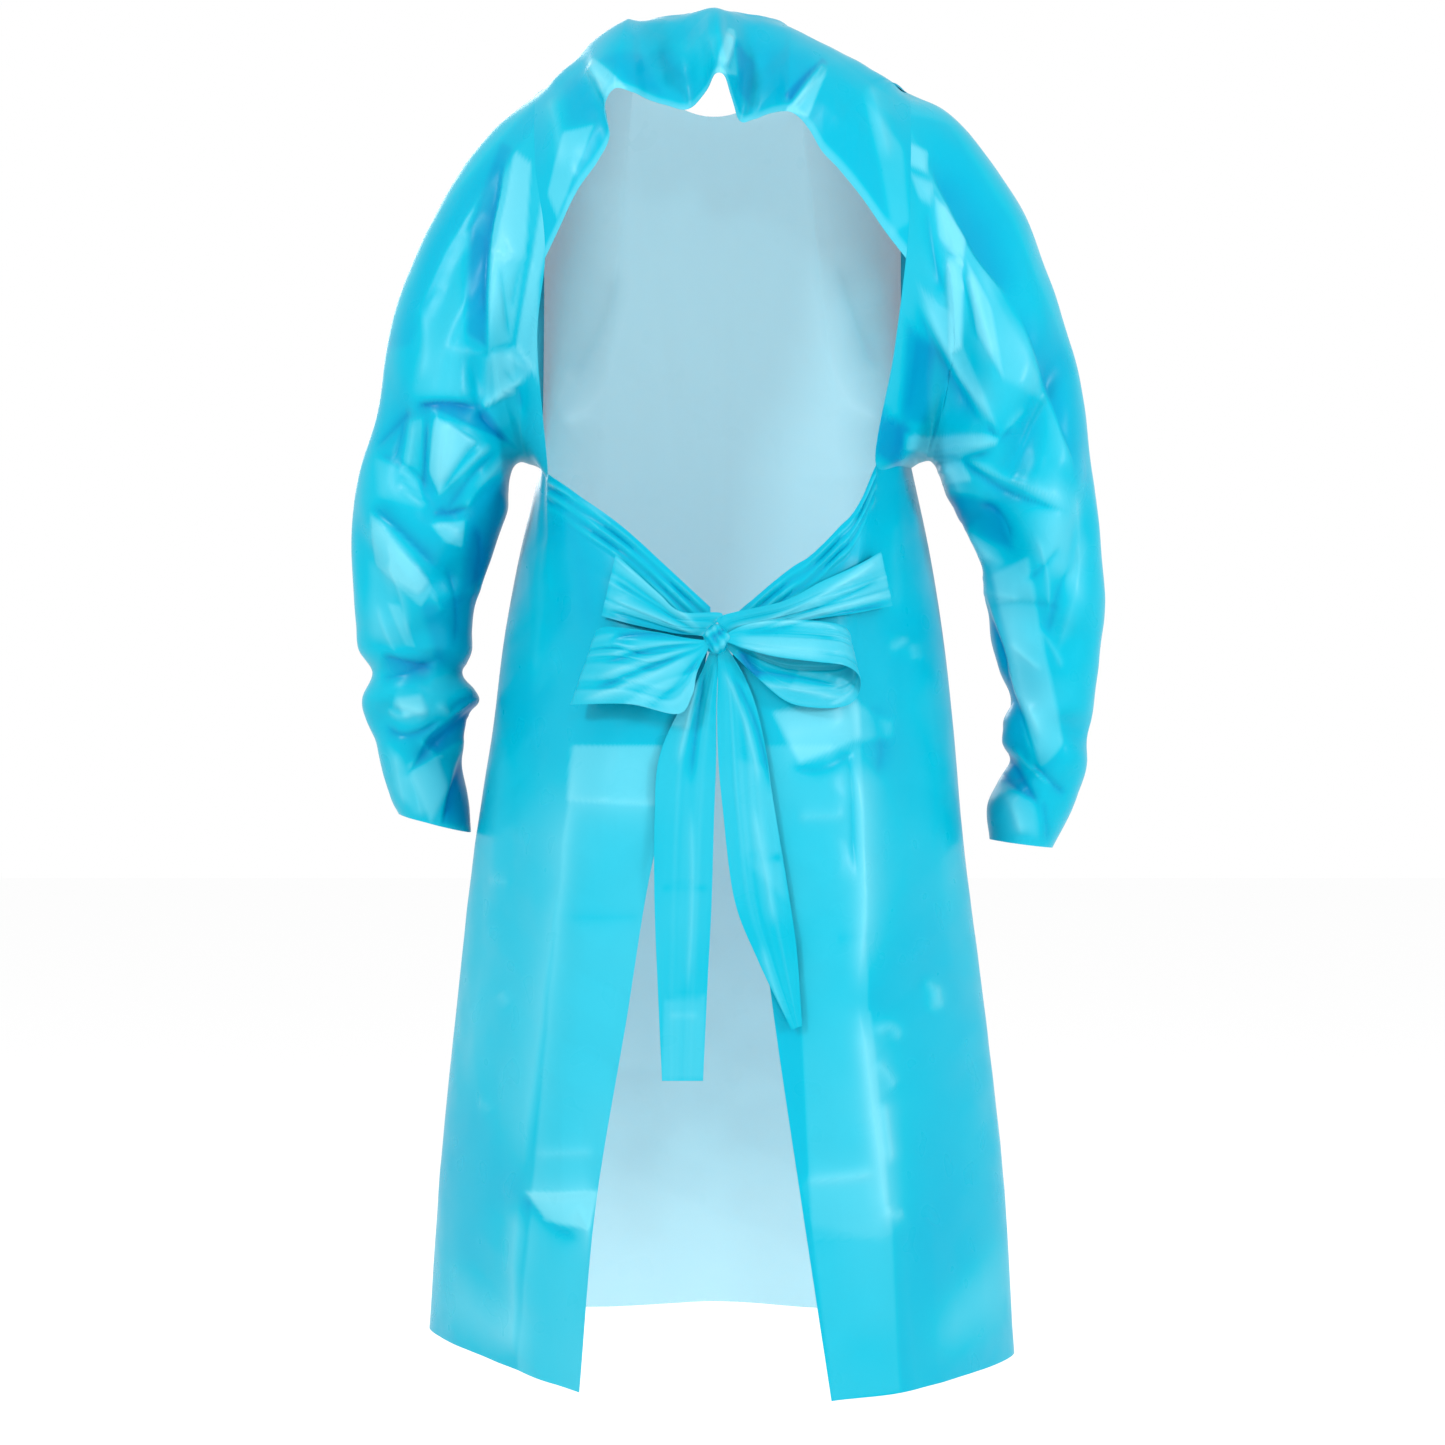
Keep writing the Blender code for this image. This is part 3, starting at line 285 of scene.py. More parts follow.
creaseColumns = "x0 z0 x1 z1 x2 z2 leftWidth rightWidth height"
leftSleeveCreases = table(
    creaseColumns,
    (0.151, -0.073, 0.220, -0.167, 0.271, -0.274, 0.0160, 0.0030, 0.0010),
    (0.183, -0.103, 0.198, -0.180, 0.201, -0.278, 0.0015, 0.0110, -0.0022),
    (0.180, -0.111, 0.194, -0.180, 0.198, -0.282, 0.0140, 0.0015, 0.0022),
    (0.158, -0.120, 0.155, -0.154, 0.159, -0.184, 0.0020, 0.0020, -0.0022),
    (0.159, -0.184, 0.173, -0.218, 0.179, -0.252, 0.0020, 0.0025, -0.0020),
    (0.190, -0.210, 0.186, -0.239, 0.181, -0.278, 0.0020, 0.0020, -0.0016),
    (0.139, -0.093, 0.153, -0.154, 0.166, -0.265, 0.0120, 0.0020, 0.0018),
    (0.198, -0.199, 0.187, -0.201, 0.177, -0.207, 0.0025, 0.0025, 0.0018),
    (0.187, -0.188, 0.186, -0.201, 0.183, -0.212, 0.0020, 0.0020, 0.0012),
    (0.209, -0.332, 0.190, -0.318, 0.163, -0.301, 0.0025, 0.0025, 0.0022),
    (0.201, -0.282, 0.204, -0.303, 0.209, -0.329, 0.0030, 0.0080, 0.0014),
    (0.265, -0.332, 0.237, -0.327, 0.209, -0.332, 0.0020, 0.0070, -0.0030),
    (0.209, -0.332, 0.198, -0.346, 0.184, -0.359, 0.0030, 0.0040, -0.0024),
    (0.265, -0.332, 0.282, -0.346, 0.301, -0.364, 0.0030, 0.0030, -0.0022),
    (0.233, -0.340, 0.236, -0.367, 0.244, -0.403, 0.0070, 0.0070, 0.0022),
    (0.251, -0.340, 0.255, -0.372, 0.257, -0.408, 0.0020, 0.0020, -0.0018),
    (0.262, -0.340, 0.266, -0.363, 0.271, -0.385, 0.0030, 0.0030, 0.0014),
    (0.273, -0.340, 0.277, -0.359, 0.282, -0.374, 0.0020, 0.0020, -0.0012),
    (0.212, -0.359, 0.227, -0.380, 0.243, -0.403, 0.0080, 0.0015, -0.0018),
    (0.198, -0.359, 0.222, -0.385, 0.250, -0.412, 0.0020, 0.0030, 0.0020),
    (0.186, -0.367, 0.207, -0.397, 0.228, -0.427, 0.0020, 0.0030, 0.0014),
    (0.192, -0.363, 0.215, -0.391, 0.239, -0.420, 0.0020, 0.0020, -0.0016),
    (0.305, -0.413, 0.275, -0.438, 0.241, -0.472, 0.0080, 0.0015, -0.0026),
    (0.302, -0.420, 0.277, -0.449, 0.251, -0.482, 0.0015, 0.0130, 0.0022),
    (0.282, -0.457, 0.271, -0.470, 0.254, -0.489, 0.0040, 0.0040, 0.0012),
    (0.254, -0.483, 0.247, -0.495, 0.241, -0.506, 0.0020, 0.0020, 0.0012),
    (0.248, -0.434, 0.237, -0.432, 0.224, -0.444, 0.0040, 0.0050, 0.0020),
    (0.250, -0.420, 0.233, -0.420, 0.215, -0.414, 0.0020, 0.0020, -0.0016),
    (0.190, -0.385, 0.198, -0.436, 0.220, -0.487, 0.0050, 0.0080, -0.0014),
    (0.299, -0.542, 0.275, -0.548, 0.248, -0.553, 0.0030, 0.0080, -0.0028),
    (0.299, -0.560, 0.275, -0.557, 0.241, -0.542, 0.0030, 0.0030, -0.0014),
    (0.288, -0.581, 0.273, -0.586, 0.254, -0.594, 0.0050, 0.0050, 0.0020),
    (0.297, -0.600, 0.273, -0.611, 0.241, -0.594, 0.0030, 0.0040, -0.0024),
    (0.241, -0.594, 0.224, -0.581, 0.209, -0.572, 0.0040, 0.0040, -0.0020),
    (0.207, -0.581, 0.241, -0.611, 0.275, -0.642, 0.0040, 0.0060, -0.0026),
    (0.228, -0.623, 0.237, -0.658, 0.244, -0.687, 0.0100, 0.0015, -0.0022),
    (0.275, -0.641, 0.267, -0.662, 0.262, -0.685, 0.0060, 0.0050, 0.0018),
    (0.285, -0.623, 0.282, -0.649, 0.277, -0.676, 0.0030, 0.0030, 0.0010),
    (0.277, -0.393, 0.265, -0.408, 0.250, -0.414, 0.0020, 0.0020, 0.0014),
    (0.299, -0.369, 0.275, -0.378, 0.251, -0.397, 0.0020, 0.0020, -0.0012),
    (0.288, -0.461, 0.277, -0.487, 0.272, -0.530, 0.0030, 0.0020, 0.0014),
    (0.299, -0.495, 0.292, -0.521, 0.282, -0.542, 0.0020, 0.0020, 0.0012),
    (0.241, -0.461, 0.231, -0.495, 0.233, -0.538, 0.0050, 0.0030, -0.0016),
    (0.215, -0.427, 0.209, -0.461, 0.222, -0.513, 0.0030, 0.0060, -0.0016),
    (0.292, -0.585, 0.282, -0.594, 0.268, -0.591, 0.0020, 0.0030, 0.0014),
    (0.250, -0.581, 0.236, -0.591, 0.222, -0.586, 0.0030, 0.0030, 0.0012),
    (0.265, -0.611, 0.254, -0.625, 0.241, -0.630, 0.0020, 0.0030, 0.0012),
    (0.190, -0.295, 0.177, -0.312, 0.173, -0.333, 0.0020, 0.0020, -0.0014),
    (0.186, -0.282, 0.173, -0.292, 0.159, -0.301, 0.0020, 0.0020, 0.0014),
    (0.241, -0.278, 0.215, -0.284, 0.200, -0.278, 0.0030, 0.0030, 0.0010),
    (0.262, -0.239, 0.254, -0.274, 0.258, -0.312, 0.0060, 0.0030, 0.0010),
    (0.244, -0.414, 0.233, -0.420, 0.215, -0.414, 0.0020, 0.0040, -0.0014),
)
rightSleeveCreases = table(
    creaseColumns,
    (-0.169, -0.111, -0.204, -0.188, -0.245, -0.239, 0.0020, 0.0120, 0.0014),
    (-0.245, -0.239, -0.278, -0.321, -0.301, -0.389, 0.0020, 0.0140, 0.0012),
    (-0.173, -0.111, -0.208, -0.188, -0.249, -0.239, 0.0140, 0.0015, -0.0012),
    (-0.249, -0.239, -0.281, -0.321, -0.304, -0.389, 0.0140, 0.0015, -0.0012),
    (-0.158, -0.110, -0.163, -0.118, -0.173, -0.127, 0.0040, 0.0040, 0.0022),
    (-0.164, -0.137, -0.170, -0.144, -0.177, -0.152, 0.0030, 0.0030, 0.0018),
    (-0.184, -0.154, -0.192, -0.180, -0.201, -0.207, 0.0040, 0.0040, 0.0022),
    (-0.194, -0.205, -0.197, -0.239, -0.200, -0.278, 0.0030, 0.0030, 0.0024),
    (-0.208, -0.212, -0.220, -0.252, -0.233, -0.299, 0.0030, 0.0060, 0.0020),
    (-0.201, -0.207, -0.209, -0.239, -0.218, -0.278, 0.0020, 0.0020, -0.0014),
    (-0.151, -0.111, -0.156, -0.154, -0.153, -0.210, 0.0030, 0.0030, -0.0016),
    (-0.173, -0.158, -0.179, -0.197, -0.190, -0.239, 0.0020, 0.0040, -0.0016),
    (-0.164, -0.233, -0.194, -0.286, -0.234, -0.350, 0.0080, 0.0020, 0.0022),
    (-0.161, -0.238, -0.190, -0.292, -0.228, -0.356, 0.0015, 0.0070, -0.0018),
    (-0.224, -0.342, -0.235, -0.356, -0.250, -0.346, 0.0030, 0.0030, -0.0020),
    (-0.237, -0.359, -0.245, -0.346, -0.262, -0.329, 0.0030, 0.0030, 0.0012),
    (-0.156, -0.359, -0.198, -0.367, -0.237, -0.359, 0.0030, 0.0020, 0.0020),
    (-0.154, -0.367, -0.198, -0.374, -0.235, -0.366, 0.0020, 0.0040, -0.0020),
    (-0.167, -0.265, -0.164, -0.303, -0.156, -0.342, 0.0050, 0.0080, -0.0022),
    (-0.147, -0.342, -0.151, -0.359, -0.143, -0.374, 0.0060, 0.0060, -0.0026),
    (-0.194, -0.367, -0.245, -0.402, -0.301, -0.420, 0.0020, 0.0040, -0.0022),
    (-0.190, -0.362, -0.245, -0.393, -0.297, -0.410, 0.0030, 0.0015, 0.0014),
    (-0.170, -0.378, -0.186, -0.379, -0.204, -0.388, 0.0040, 0.0040, 0.0022),
    (-0.192, -0.406, -0.200, -0.419, -0.203, -0.434, 0.0050, 0.0050, -0.0026),
    (-0.213, -0.426, -0.224, -0.443, -0.235, -0.463, 0.0050, 0.0050, 0.0016),
    (-0.211, -0.436, -0.241, -0.530, -0.273, -0.634, 0.0015, 0.0030, -0.0024),
    (-0.215, -0.436, -0.245, -0.530, -0.277, -0.634, 0.0100, 0.0015, 0.0022),
    (-0.238, -0.613, -0.258, -0.642, -0.278, -0.676, 0.0030, 0.0030, -0.0020),
    (-0.271, -0.634, -0.286, -0.651, -0.303, -0.664, 0.0030, 0.0030, -0.0020),
    (-0.254, -0.619, -0.271, -0.641, -0.290, -0.658, 0.0020, 0.0020, 0.0014),
    (-0.247, -0.659, -0.256, -0.679, -0.262, -0.700, 0.0060, 0.0040, 0.0018),
    (-0.279, -0.666, -0.283, -0.687, -0.285, -0.707, 0.0030, 0.0030, -0.0012),
    (-0.314, -0.427, -0.305, -0.487, -0.288, -0.547, 0.0080, 0.0050, 0.0010),
    (-0.301, -0.461, -0.288, -0.495, -0.281, -0.530, 0.0020, 0.0030, -0.0012),
    (-0.267, -0.436, -0.279, -0.474, -0.281, -0.513, 0.0020, 0.0020, 0.0012),
    (-0.226, -0.485, -0.241, -0.489, -0.258, -0.495, 0.0020, 0.0030, 0.0010),
    (-0.231, -0.499, -0.262, -0.497, -0.296, -0.503, 0.0020, 0.0030, -0.0010),
    (-0.247, -0.528, -0.262, -0.542, -0.279, -0.555, 0.0020, 0.0030, 0.0012),
    (-0.242, -0.544, -0.262, -0.577, -0.278, -0.615, 0.0030, 0.0020, 0.0012),
    (-0.274, -0.518, -0.286, -0.535, -0.296, -0.555, 0.0030, 0.0030, 0.0010),
    (-0.258, -0.479, -0.276, -0.466, -0.291, -0.447, 0.0020, 0.0030, -0.0014),
    (-0.301, -0.404, -0.307, -0.436, -0.307, -0.479, 0.0030, 0.0030, 0.0010),
    (-0.242, -0.625, -0.252, -0.652, -0.279, -0.669, 0.0030, 0.0030, -0.0016),
    (-0.220, -0.414, -0.238, -0.420, -0.250, -0.449, 0.0040, 0.0020, -0.0020),
    (-0.213, -0.427, -0.228, -0.451, -0.245, -0.463, 0.0020, 0.0040, 0.0014),
    (-0.254, -0.572, -0.266, -0.598, -0.276, -0.625, 0.0020, 0.0020, -0.0010),
    (-0.172, -0.359, -0.194, -0.378, -0.208, -0.410, 0.0030, 0.0030, 0.0014),
)
leftPanelCreases = table(
    creaseColumns,
    (0.120, -0.615, 0.145, -0.814, 0.170, -0.996, 0.005, 0.022, 0.0026),
    (0.170, -0.996, 0.173, -1.071, 0.175, -1.142, 0.006, 0.014, 0.0030),
    (0.131, -0.665, 0.093, -0.667, 0.049, -0.669, 0.003, 0.010, 0.0015),
    (0.137, -0.761, 0.098, -0.762, 0.060, -0.760, 0.004, 0.004, -0.0005),
    (0.160, -0.960, 0.131, -0.957, 0.102, -0.955, 0.004, 0.004, 0.0012),
    (0.170, -0.995, 0.135, -0.992, 0.100, -0.986, 0.010, 0.003, 0.0020),
    (0.122, -1.000, 0.110, -1.021, 0.102, -1.048, 0.006, 0.005, 0.0025),
    (0.168, -0.996, 0.147, -1.015, 0.114, -1.030, 0.006, 0.006, -0.0020),
    (0.187, -0.573, 0.201, -0.747, 0.225, -0.955, 0.020, 0.020, 0.0010),
    (0.203, -0.737, 0.191, -0.736, 0.180, -0.738, 0.003, 0.003, 0.0010),
    (0.189, -0.830, 0.185, -0.835, 0.180, -0.840, 0.004, 0.004, 0.0012),
    (0.210, -0.926, 0.203, -0.928, 0.198, -0.934, 0.004, 0.004, 0.0010),
    (0.135, -0.415, 0.122, -0.465, 0.110, -0.532, 0.014, 0.014, -0.0008),
    (0.151, -0.432, 0.156, -0.498, 0.160, -0.581, 0.016, 0.016, 0.0010),
)
rightPanelCreases = table(
    creaseColumns,
    (-0.106, -0.619, -0.116, -0.714, -0.111, -0.830, 0.014, 0.005, 0.0040),
    (-0.111, -0.830, -0.124, -0.930, -0.137, -1.034, 0.012, 0.005, 0.0040),
    (-0.060, -0.679, -0.081, -0.678, -0.106, -0.678, 0.005, 0.003, 0.0012),
    (-0.093, -0.779, -0.106, -0.778, -0.124, -0.777, 0.004, 0.004, -0.0005),
    (-0.064, -0.978, -0.098, -0.976, -0.129, -0.973, 0.006, 0.003, 0.0018),
    (-0.044, -0.610, -0.077, -0.606, -0.116, -0.591, 0.022, 0.022, 0.0010),
    (-0.052, -0.635, -0.085, -0.638, -0.112, -0.619, 0.008, 0.005, -0.0020),
    (-0.168, -0.818, -0.179, -0.830, -0.174, -0.847, 0.004, 0.004, 0.0020),
    (-0.185, -0.822, -0.181, -0.834, -0.189, -0.843, 0.004, 0.004, 0.0015),
    (-0.122, -0.859, -0.139, -0.854, -0.146, -0.868, 0.004, 0.004, 0.0020),
    (-0.124, -0.880, -0.135, -0.893, -0.143, -0.905, 0.004, 0.004, 0.0018),
    (-0.131, -0.913, -0.134, -0.938, -0.137, -0.971, 0.005, 0.005, 0.0025),
    (-0.132, -1.000, -0.141, -1.009, -0.151, -1.006, 0.004, 0.004, 0.0020),
    (-0.172, -0.540, -0.185, -0.648, -0.197, -0.789, 0.018, 0.018, 0.0008),
    (-0.139, -0.536, -0.151, -0.532, -0.157, -0.525, 0.004, 0.004, 0.0020),
    (-0.162, -0.532, -0.165, -0.540, -0.164, -0.548, 0.003, 0.003, 0.0020),
    (-0.122, -0.581, -0.135, -0.615, -0.127, -0.648, 0.006, 0.006, -0.0020),
    (-0.107, -0.619, -0.108, -0.664, -0.111, -0.731, 0.003, 0.003, -0.0020),
    (-0.151, -0.415, -0.147, -0.465, -0.151, -0.515, 0.012, 0.012, 0.0008),
)
bowCreases = table(
    creaseColumns,
    (0.097, -0.532, 0.060, -0.526, 0.018, -0.530, 0.0015, 0.0040, -0.0018),
    (0.097, -0.545, 0.060, -0.537, 0.018, -0.533, 0.0020, 0.0020, 0.0014),
    (0.101, -0.552, 0.060, -0.540, 0.018, -0.535, 0.0015, 0.0020, -0.0016),
    (0.104, -0.563, 0.064, -0.550, 0.018, -0.536, 0.0020, 0.0025, 0.0016),
    (0.109, -0.573, 0.068, -0.557, 0.018, -0.538, 0.0015, 0.0025, -0.0018),
    (0.121, -0.583, 0.068, -0.565, 0.018, -0.540, 0.0020, 0.0040, 0.0018),
    (0.068, -0.591, 0.043, -0.573, 0.016, -0.542, 0.0020, 0.0050, -0.0012),
    (-0.002, -0.522, -0.047, -0.517, -0.098, -0.521, 0.0020, 0.0040, 0.0014),
    (-0.005, -0.527, -0.055, -0.526, -0.105, -0.532, 0.0030, 0.0020, -0.0012),
    (-0.010, -0.542, -0.047, -0.540, -0.092, -0.545, 0.0060, 0.0060, 0.0014),
    (-0.018, -0.558, -0.055, -0.562, -0.105, -0.573, 0.0020, 0.0030, -0.0018),
    (-0.021, -0.567, -0.064, -0.573, -0.101, -0.580, 0.0020, 0.0020, 0.0014),
    (-0.014, -0.539, -0.021, -0.553, -0.029, -0.568, 0.0040, 0.0040, -0.0026),
    (0.002, -0.553, -0.018, -0.598, -0.031, -0.655, 0.0020, 0.0020, 0.0012),
    (-0.006, -0.557, -0.029, -0.606, -0.041, -0.664, 0.0015, 0.0030, -0.0014),
    (-0.024, -0.664, -0.035, -0.721, -0.043, -0.771, 0.0030, 0.0030, 0.0010),
    (-0.014, -0.713, -0.035, -0.710, -0.055, -0.715, 0.0010, 0.0020, -0.0008),
    (-0.031, -0.779, -0.043, -0.820, -0.054, -0.849, 0.0020, 0.0030, 0.0010),
    (0.014, -0.553, 0.021, -0.598, 0.027, -0.655, 0.0020, 0.0030, -0.0014),
    (0.018, -0.555, 0.028, -0.594, 0.038, -0.639, 0.0020, 0.0020, 0.0012),
    (0.051, -0.738, 0.035, -0.734, 0.007, -0.739, 0.0010, 0.0020, -0.0004),
    (0.049, -0.828, 0.033, -0.825, 0.014, -0.828, 0.0010, 0.0020, -0.0004),
    (0.048, -0.845, 0.032, -0.841, 0.015, -0.846, 0.0010, 0.0020, 0.0005),
    (0.027, -0.664, 0.025, -0.746, 0.030, -0.828, 0.0020, 0.0030, 0.0008),
    (0.091, -0.462, 0.055, -0.491, 0.017, -0.524, 0.0020, 0.0020, 0.0014),
    (0.094, -0.479, 0.060, -0.502, 0.018, -0.526, 0.0015, 0.0020, -0.0012),
    (0.096, -0.495, 0.060, -0.511, 0.018, -0.529, 0.0020, 0.0020, 0.0012),
    (0.097, -0.506, 0.060, -0.517, 0.018, -0.530, 0.0015, 0.0020, -0.0012),
    (-0.134, -0.460, -0.088, -0.491, -0.014, -0.526, 0.0020, 0.0020, 0.0014),
    (-0.138, -0.475, -0.092, -0.499, -0.018, -0.527, 0.0015, 0.0020, -0.0012),
    (-0.142, -0.489, -0.097, -0.504, -0.023, -0.527, 0.0020, 0.0020, 0.0012),
    (-0.143, -0.499, -0.097, -0.510, -0.023, -0.528, 0.0015, 0.0020, -0.0012),
)
frontCreases = table(
    creaseColumns,
    (-0.002, -0.140, -0.004, -0.600, -0.002, -1.120, 0.003, 0.003, 0.0007),
    (0.145, -0.330, 0.105, -0.310, 0.020, -0.270, 0.014, 0.008, 0.0016),
    (0.140, -0.290, 0.112, -0.245, 0.092, -0.180, 0.010, 0.008, -0.0012),
    (-0.145, -0.325, -0.110, -0.305, -0.065, -0.250, 0.008, 0.014, 0.0012),
    (-0.142, -0.285, -0.120, -0.235, -0.100, -0.175, 0.010, 0.008, -0.0016),
    (0.150, -0.460, 0.105, -0.475, 0.050, -0.470, 0.012, 0.006, 0.0030),
    (-0.155, -0.470, -0.100, -0.488, -0.040, -0.480, 0.006, 0.012, 0.0030),
    (0.160, -0.500, 0.120, -0.540, 0.095, -0.600, 0.010, 0.010, -0.0025),
    (-0.160, -0.510, -0.128, -0.560, -0.105, -0.640, 0.010, 0.010, -0.0025),
    (0.118, -0.560, 0.128, -0.800, 0.142, -1.120, 0.008, 0.018, 0.0030),
    (-0.112, -0.580, -0.130, -0.820, -0.150, -1.125, 0.018, 0.008, 0.0030),
    (0.050, -0.620, 0.060, -0.850, 0.062, -1.100, 0.014, 0.014, 0.0020),
    (-0.055, -0.640, -0.058, -0.880, -0.070, -1.110, 0.014, 0.014, 0.0020),
    (0.060, -0.790, 0.020, -0.795, -0.040, -0.788, 0.005, 0.005, 0.0012),
    (0.120, -0.930, 0.070, -0.925, 0.030, -0.932, 0.006, 0.004, 0.0012),
    (-0.030, -0.960, -0.080, -0.952, -0.130, -0.958, 0.006, 0.004, 0.0014),
)
yokeCreases = table(
    creaseColumns,
    (0.114, -0.040, 0.104, -0.057, 0.093, -0.071, 0.0025, 0.0050, 0.0030),
    (-0.006, -0.019, -0.005, -0.037, 0.000, -0.054, 0.0020, 0.0030, 0.0030),
    (-0.011, -0.021, -0.010, -0.040, -0.004, -0.057, 0.0050, 0.0015, -0.0018),
    (-0.089, -0.037, -0.072, -0.065, -0.057, -0.088, 0.0020, 0.0025, 0.0032),
    (-0.082, -0.040, -0.065, -0.065, -0.052, -0.084, 0.0015, 0.0050, -0.0018),
    (0.078, -0.076, 0.048, -0.083, 0.019, -0.083, 0.0020, 0.0030, 0.0018),
    (-0.015, -0.093, -0.036, -0.091, -0.052, -0.088, 0.0020, 0.0030, 0.0018),
    (0.149, -0.063, 0.140, -0.094, 0.135, -0.136, 0.0060, 0.0090, 0.0016),
    (-0.124, -0.052, -0.132, -0.086, -0.142, -0.128, 0.0090, 0.0060, 0.0016),
    (0.052, -0.027, 0.042, -0.046, 0.019, -0.064, 0.0090, 0.0090, -0.0008),
)
hiddenLook = {
    "sway": 0.010,         # how far creases of the side turned away move across
    "swayBeat": 2.3,       # and how much that changes from one to the next, in radians
    "lift": -0.024,        # the same up and down
    "liftBeat": 1.7,
    "raise": 0.006,
    "share": 0.9,          # of the seen creases' heights
}


def hiddenSide(rows):
    # the same kind of creases for the side turned away, moved and bent a little differently
    look = hiddenLook
    turned = {name: values.copy() for name, values in rows.items()}
    count = np.arange(len(rows["x0"]))
    lift = look["lift"] * np.cos(look["liftBeat"] * count)
    for end in "012":
        sway = look["sway"] * np.sin(look["swayBeat"] * count + float(end))
        turned["x" + end] = rows["x" + end] + sway
        turned["z" + end] = rows["z" + end] + lift + look["raise"]
    turned["height"] = rows["height"] * look["share"]
    return turned


creaseForm = {
    "steps": 14,           # straight stretches along each crease
    "blunt": 0.0005,       # how round its crest is
    "reach": 4.5,          # widths to each side, past which it isn't felt
    "endShare": 0.22,      # of its length, over which each end fades
    "turning": 0.25,       # how soon hidden creases take over where the cloth turns
}


def creaseHeights(points, rows):
    # how far the creases lift each point
    form = creaseForm
    flat = points[..., [0, 2]].reshape(-1, 2)
    total = np.zeros(len(flat))
    t = np.linspace(0.0, 1.0, form["steps"] + 1)[:, None]
    for row in range(len(rows["x0"])):
        one = {name: rows[name][row] for name in rows}
        a, b, c = (np.array([one["x" + end], one["z" + end]]) for end in "012")
        line = 2.0 * (t - 0.5) * (t - 1.0) * a + 4.0 * t * (1.0 - t) * b + 2.0 * t * (t - 0.5) * c
        reach = form["reach"] * max(one["leftWidth"], one["rightWidth"])
        low, high = line.min(axis=0) - reach, line.max(axis=0) + reach
        near = np.flatnonzero(np.all((flat > low) & (flat < high), axis=1))
        if not len(near):
            continue
        # the nearest place on the crease to each point
        start, way = line[:-1], np.diff(line, axis=0)
        offset = flat[near, None] - start[None]
        along = np.clip((offset * way).sum(-1) / (way * way).sum(-1), 0.0, 1.0)
        away = offset - along[..., None] * way
        distance = np.linalg.norm(away, axis=-1)
        best = distance.argmin(axis=1)
        pick = np.arange(len(near))
        distance = distance[pick, best]
        share = (best + along[pick, best]) / form["steps"]
        leftHand = np.array([way[best, 1], -way[best, 0]]).T
        onLeft = (away[pick, best] * leftHand).sum(axis=1) > 0.0
        width = np.where(onLeft, one["leftWidth"], one["rightWidth"])
        soft = np.sqrt(distance ** 2 + form["blunt"] ** 2) - form["blunt"]
        ends = softStep(0.0, form["endShare"], share) * softStep(0.0, form["endShare"], 1.0 - share)
        total[near] += one["height"] * np.exp(-soft / width) * ends
    return total.reshape(points.shape[:-1])


def creasedAllRound(points, outward, seen, hidden):
    # seen creases where the cloth faces the back, hidden ones where it faces the front
    backward = softStep(-creaseForm["turning"], creaseForm["turning"], outward[..., 1])
    return creaseHeights(points, seen) * backward + creaseHeights(points, hidden) * (1.0 - backward)
